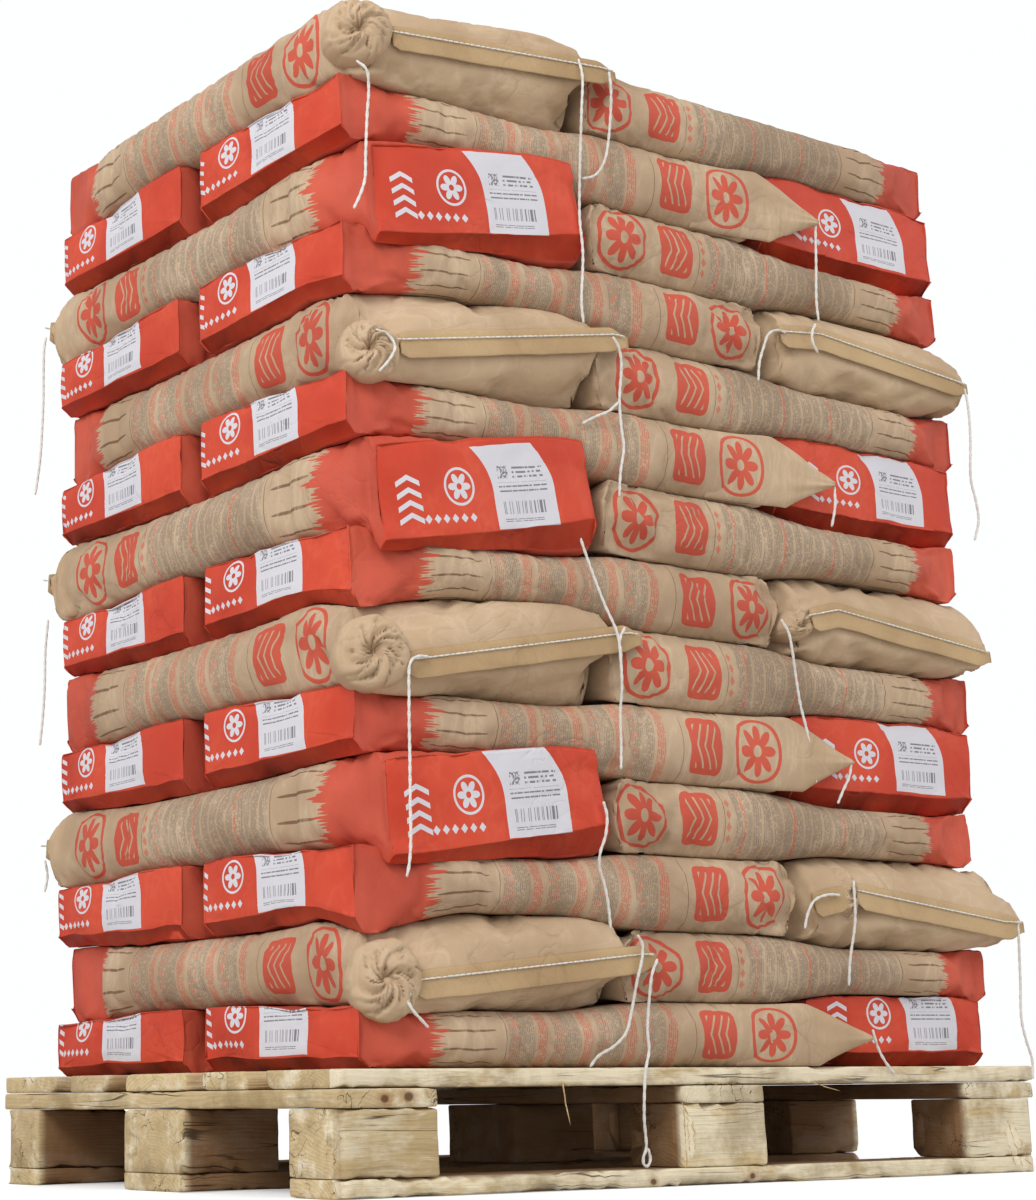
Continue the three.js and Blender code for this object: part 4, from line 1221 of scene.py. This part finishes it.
def end_layout():
    """The red end's print: a white label with grey rules, a white rosette, chevrons and lozenges."""
    group, (place, *_), end = field_group("end_layout", ("Place",), ("White", "Ink"))
    p, q, _ = xyz(group, place)
    high = q | 0.0
    label = between(p + 8.0 * high * high, 0.004, 0.104) & between(q, -0.047, 0.060)
    # What stands on the label is laid out from here.
    m = p + 0.024
    word = scattered(group, 1.0, m / 0.0035, (q / 0.0058).whole() * 5.1)
    in_line = (q / 0.0058).part()
    rules = between(m, 0.036, 0.116) & between(q, -0.003, 0.012) & (in_line < 0.34) & (word > 0.42)
    upper = between(m, 0.062, 0.112) & between(q, 0.016, 0.034) & (in_line < 0.45) & (word > 0.46)
    square = between(m, 0.038, 0.055) & between(q, 0.017, 0.033)
    dots = scattered(group, 0.0, (m / 0.0016).whole() * 7.3, (q / 0.0016).whole() * 5.9)
    bars = scattered(group, 0.0, (m / 0.0011).whole() * 7.7)
    bars = between(m, 0.040, 0.110) & between(q, -0.028, -0.012) & (bars > 0.5)
    foot = between(m, 0.040, 0.104) & between(q, -0.0385, -0.0330) & ((q / 0.0027).part() < 0.4)
    foot = foot & (word > 0.38)
    ink = label & (rules | upper | (square & (dots > 0.5)) | bars | foot)
    petals, far = flower(p + 0.050, q - 0.009, 0.0175, 3.0, 0.45)
    rosette = (petals & (far > 0.004)) | between(far, 0.0205, 0.0238)
    x, y = p + 0.128, q - 0.004
    bent = y + 0.5 * abs(x)
    chevrons = ((bent / 0.0155).part() < 0.42) & (abs(x) < 0.017) & (abs(bent) < 0.031)
    lozenge = (abs((p / 0.0140).part() - 0.5) * 0.0140 / 0.0052 + abs(q + 0.030) / 0.0058) < 1.0
    lozenge = lozenge & between(p, -0.112, -0.028)
    return give(group, end, (label | rosette | chevrons | lozenge, ink))


def paper_surface():
    """How the paper's surface varies: blotches, fibres, soft folds and their height."""
    outputs = ("Blotch", "Fibre", "Fold", "Height")
    group, (place, *_), end = field_group("paper_surface", ("Place",), outputs)
    blotch = noise(group, place, 7.0, 4.0)
    fibre = noise(group, stretched(group, place, (500, 500, 900)), 1.0, 2.0)
    sway = add(group, "ShaderNodeTexNoise", {"Vector": place, "Scale": 9.0, "Detail": 1.0}).outputs["Color"]
    sway = add(group, "ShaderNodeVectorMath", {0: sway, "Scale": 0.05}, operation="SCALE").outputs[0]
    bent = add(group, "ShaderNodeVectorMath", {0: place, 1: sway}, operation="ADD").outputs[0]
    ridge = lambda scale, detail: 1.0 - abs(noise(group, bent, scale, detail, 0.45) - 0.5) * 2.0
    long_folds = ridge(11.0, 1.0) ** 26.0
    short_folds = ridge(27.0, 2.0) ** 22.0
    patchy = noise(group, place, 5.0, 2.0).step(0.42, 0.70)
    fold = (long_folds * 0.8 + short_folds * 0.5) * patchy
    height = noise(group, bent, 16.0, 3.0) * 0.55 + noise(group, place, 60.0, 1.0) * 0.10 - fold * 0.30
    return give(group, end, (blotch, fibre, fold, height))


PRINT, END_PRINT, SURFACE = print_layout(), end_layout(), paper_surface()


def label_map(tree):
    return add(tree, "ShaderNodeUVMap", uv_map="label").outputs[0]


def creases_round(tree, label, scale, patchy):
    """Thin creases in the paper, close together where patchy is high."""
    bent = noise(tree, stretched(tree, label, scale), 1.0, 2.0, 0.6, 0.3)
    return (1.0 - abs(bent - 0.5) * 2.0) ** 13.0 * patchy.step(0.36, 0.60)


def kraft_colour(tree, blotch, fibre, fold, light=(190, 165, 137), dark=(167, 141, 114)):
    colour = tint(tree, blotch.step(0.30, 0.72), dark, light)
    colour = tint(tree, fibre.step(0.45, 0.75) * 0.20, colour, (138, 110, 78))
    # Painted shade: the colour darkens along the soft folds.
    return tint(tree, fold.step(0.05, 0.8) * 0.16, colour, (118, 90, 60))


kraft, tree, shader = start_material("kraft_print")
blotch, fibre, fold, height = taken_from(SURFACE, tree, object_place(tree))
label = label_map(tree)
red, grey, brown = taken_from(PRINT, tree, label)
creased = creases_round(tree, label, (44, 14, 1), blotch)
worn = 0.93 - fibre.step(0.55, 0.85) * 0.22
colour = kraft_colour(tree, blotch, fibre, fold)
# Painted light: the kraft past the rosette, on the sewn end, is made lighter and yellower where the light
# falls on it.
painted_light_sewn_end = xyz(tree, label)[0].step(0.69, 0.74)
colour = tint(tree, painted_light_sewn_end * 0.24, colour, (206, 176, 137))
colour = tint(tree, grey * 0.58, colour, (108, 102, 94))
colour = tint(tree, brown * 0.80, colour, (98, 66, 40))
red_ink = tint(tree, blotch.step(0.3, 0.7), (180, 62, 44), (202, 78, 56))
colour = tint(tree, red * worn, colour, red_ink)
# Lighter along the thin creases: ink worn off their ridges, and a painted highlight.
colour = tint(tree, creased * (1.0 - red) * 0.36, colour, (212, 188, 160))
shader.inputs["Specular IOR Level"].default_value = 0.30
finish_shader(tree, shader, colour, 0.86 - red * 0.22 + fibre * 0.06 - fold * 0.05, height, 0.006, 0.60)

red_end, tree, shader = start_material("red_end_print")
blotch, fibre, fold, height = taken_from(SURFACE, tree, object_place(tree))
label = label_map(tree)
creased = creases_round(tree, label, (22, 16, 1), blotch)
white, black = taken_from(END_PRINT, tree, label)
colour = tint(tree, blotch.step(0.3, 0.7), (189, 55, 29), (205, 70, 40))
# Painted shade: darker red along the soft folds.
colour = tint(tree, fold.step(0.05, 0.8) * 0.22, colour, (150, 28, 10))
# Lighter red along the thin creases: a painted highlight on their ridges, with scuffs.
colour = tint(tree, creased * 0.16, colour, (226, 112, 84))
colour = tint(tree, white, colour, (205, 203, 209))
colour = tint(tree, black * 0.8, colour, (84, 84, 92))
shader.inputs["Specular IOR Level"].default_value = 0.35
finish_shader(tree, shader, colour, 0.56 + fibre * 0.10 + white * 0.08, height, 0.006, 0.62)

tape, tree, shader = start_material("crepe_tape")
blotch, fibre, fold, height = taken_from(SURFACE, tree, object_place(tree))
crepe = noise(tree, stretched(tree, label_map(tree), (700, 120, 1)), 1.0, 2.0)
colour = kraft_colour(tree, blotch, fibre, fold, (190, 161, 120), (166, 136, 97))
colour = tint(tree, crepe.step(0.5, 0.8) * 0.22, colour, (134, 102, 64))
finish_shader(tree, shader, colour, 0.78 + crepe * 0.12, height + crepe * 0.10, 0.004, 0.6)

SEAMS = []


def seam_line(s, x0, x1, out):
    """Where the stitches run: along the top of the tape that lies from x0 to x1."""
    return [(x, s["sewn_at"] + out * 0.0052, s["seam"] + rolled(s, x)[0] - 0.0015)
        for x in np.linspace(x0 - 0.004, x1 - 0.012, 60)]


blanks = [sack_shell(s) for s in SACKS]
for s, blank, move in zip(SACKS, blanks, buckled(blanks)):
    shells = [filled(s, blank, move)]
    odd = s["layer"] % 2 == 1
    if s["axis"] == "y" and not s["red_front"]:
        x0, x1 = (TAPE_START[s["layer"]], s["ear"]) if odd else (-0.484, -0.104)
        shells.append(taped_flap(s, x0, x1, -1, 0.003 * odd))
        if s["layer"] == 7:
            shells.append(gathered_corner(s, 0.193, -1, 0.2, (0.024, 0.021), -0.012))
        elif s["layer"] == 3:
            shells.append(taped_flap(s, 0.181, 0.262, -1, 0.003))
            shells.append(gathered_corner(s, 0.253, -1, 0.0, (0.015, 0.034), -0.006))
        if not odd:
            x, above, wide, tall = (0.001 * v for v in GATHER[s["layer"]])
            shells.append(gathered_corner(s, x, -1, -1, (wide, tall), above))
        SEAMS.append(seam_line(s, x0, x1, -1))
    if s["axis"] == "y" and s["red_front"]:
        x0, x1 = (0.214, 0.548) if odd else (-0.548, -0.206)
        shells += [taped_flap(s, x0, x1, 1), gathered_corner(s, x0 - 0.028 if odd else x1 + 0.028, 1, 0)]
        SEAMS.append(seam_line(s, x0, x1, 1))
    if s["name"] == "front" and odd and s["red_front"]:
        shells.append(pointed_corner(s))
    verts, faces, uv, index = join_shells(shells)
    piece = new_piece(f"sack_{s['layer']:02d}_{s['name']}_paper", verts, faces,
        [kraft, red_end, tape], uv, index)
    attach(piece, "root")
    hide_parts(f"sack_{s['layer']:02d}_{s['name']}")

# The seams' chain stitches: white cotton loops, one every 9 mm, along the top of each tape. The same
# nodes that lay the splinters lay them along the seam lines.
stitch = rod("one_stitch", ((-0.0050, 0.35), (-0.0035, 0.9), (0.0, 1.0), (0.0035, 0.8), (0.0050, 0.3)),
    0.0011, 0.0014, cotton)
stitches = laid_out("seam_stitches", SEAMS, Spacing=0.0088, Smallest=0.78, Tilt=0.05, Seed=7, Finish=cotton,
    Shape=stitch)

# The floor and the studio light.
pale, tree, shader = start_material("pale_floor")
shader.inputs["Roughness"].default_value = 0.9
direct = Field(tree, add(tree, "ShaderNodeLightPath").outputs["Is Camera Ray"])
tree.links.new(tint(tree, direct, (204, 202, 198), (236, 236, 236)), shader.inputs["Base Color"])
tree.links.new((direct * 0.30).socket, shader.inputs["Emission Strength"])
shader.inputs["Emission Color"].default_value = (1.0, 1.0, 1.0, 1.0)
floor = new_piece("floor", [(-60, -60, 0), (60, -60, 0), (60, 60, 0), (-60, 60, 0)], [(0, 1, 2, 3)], [pale])

world = bpy.data.worlds.new("studio")
bpy.context.scene.world = world
world.use_nodes = True
sky = world.node_tree
room = sky.nodes["Background"]
room.inputs[0].default_value = (0.98, 0.99, 1.0, 1)
seen = add(sky, "ShaderNodeLightPath").outputs["Is Camera Ray"]
sky.links.new((Field(sky, seen) * 0.18 + 0.83).socket, room.inputs[1])


def soft_light(name, place, target, size, power):
    lamp = bpy.data.lights.new(name, "AREA")
    lamp.shape, lamp.size, lamp.energy = "SQUARE", size, power
    away = np.array(place) - np.array(target)
    away = away / np.linalg.norm(away)
    sideways = np.cross((0, 0, 1), away)
    sideways /= np.linalg.norm(sideways)
    in_scene(name, lamp).matrix_world = placed(sideways, np.cross(away, sideways), away, place)


soft_light("key_light", (-4.3, -2.5, 3.6), (0, 0, 0.8), 2.2, 165)
soft_light("fill_light", (3.6, -3.4, 3.4), (0, 0, 0.8), 2.5, 50)
bpy.context.scene.view_settings.view_transform = "Standard"
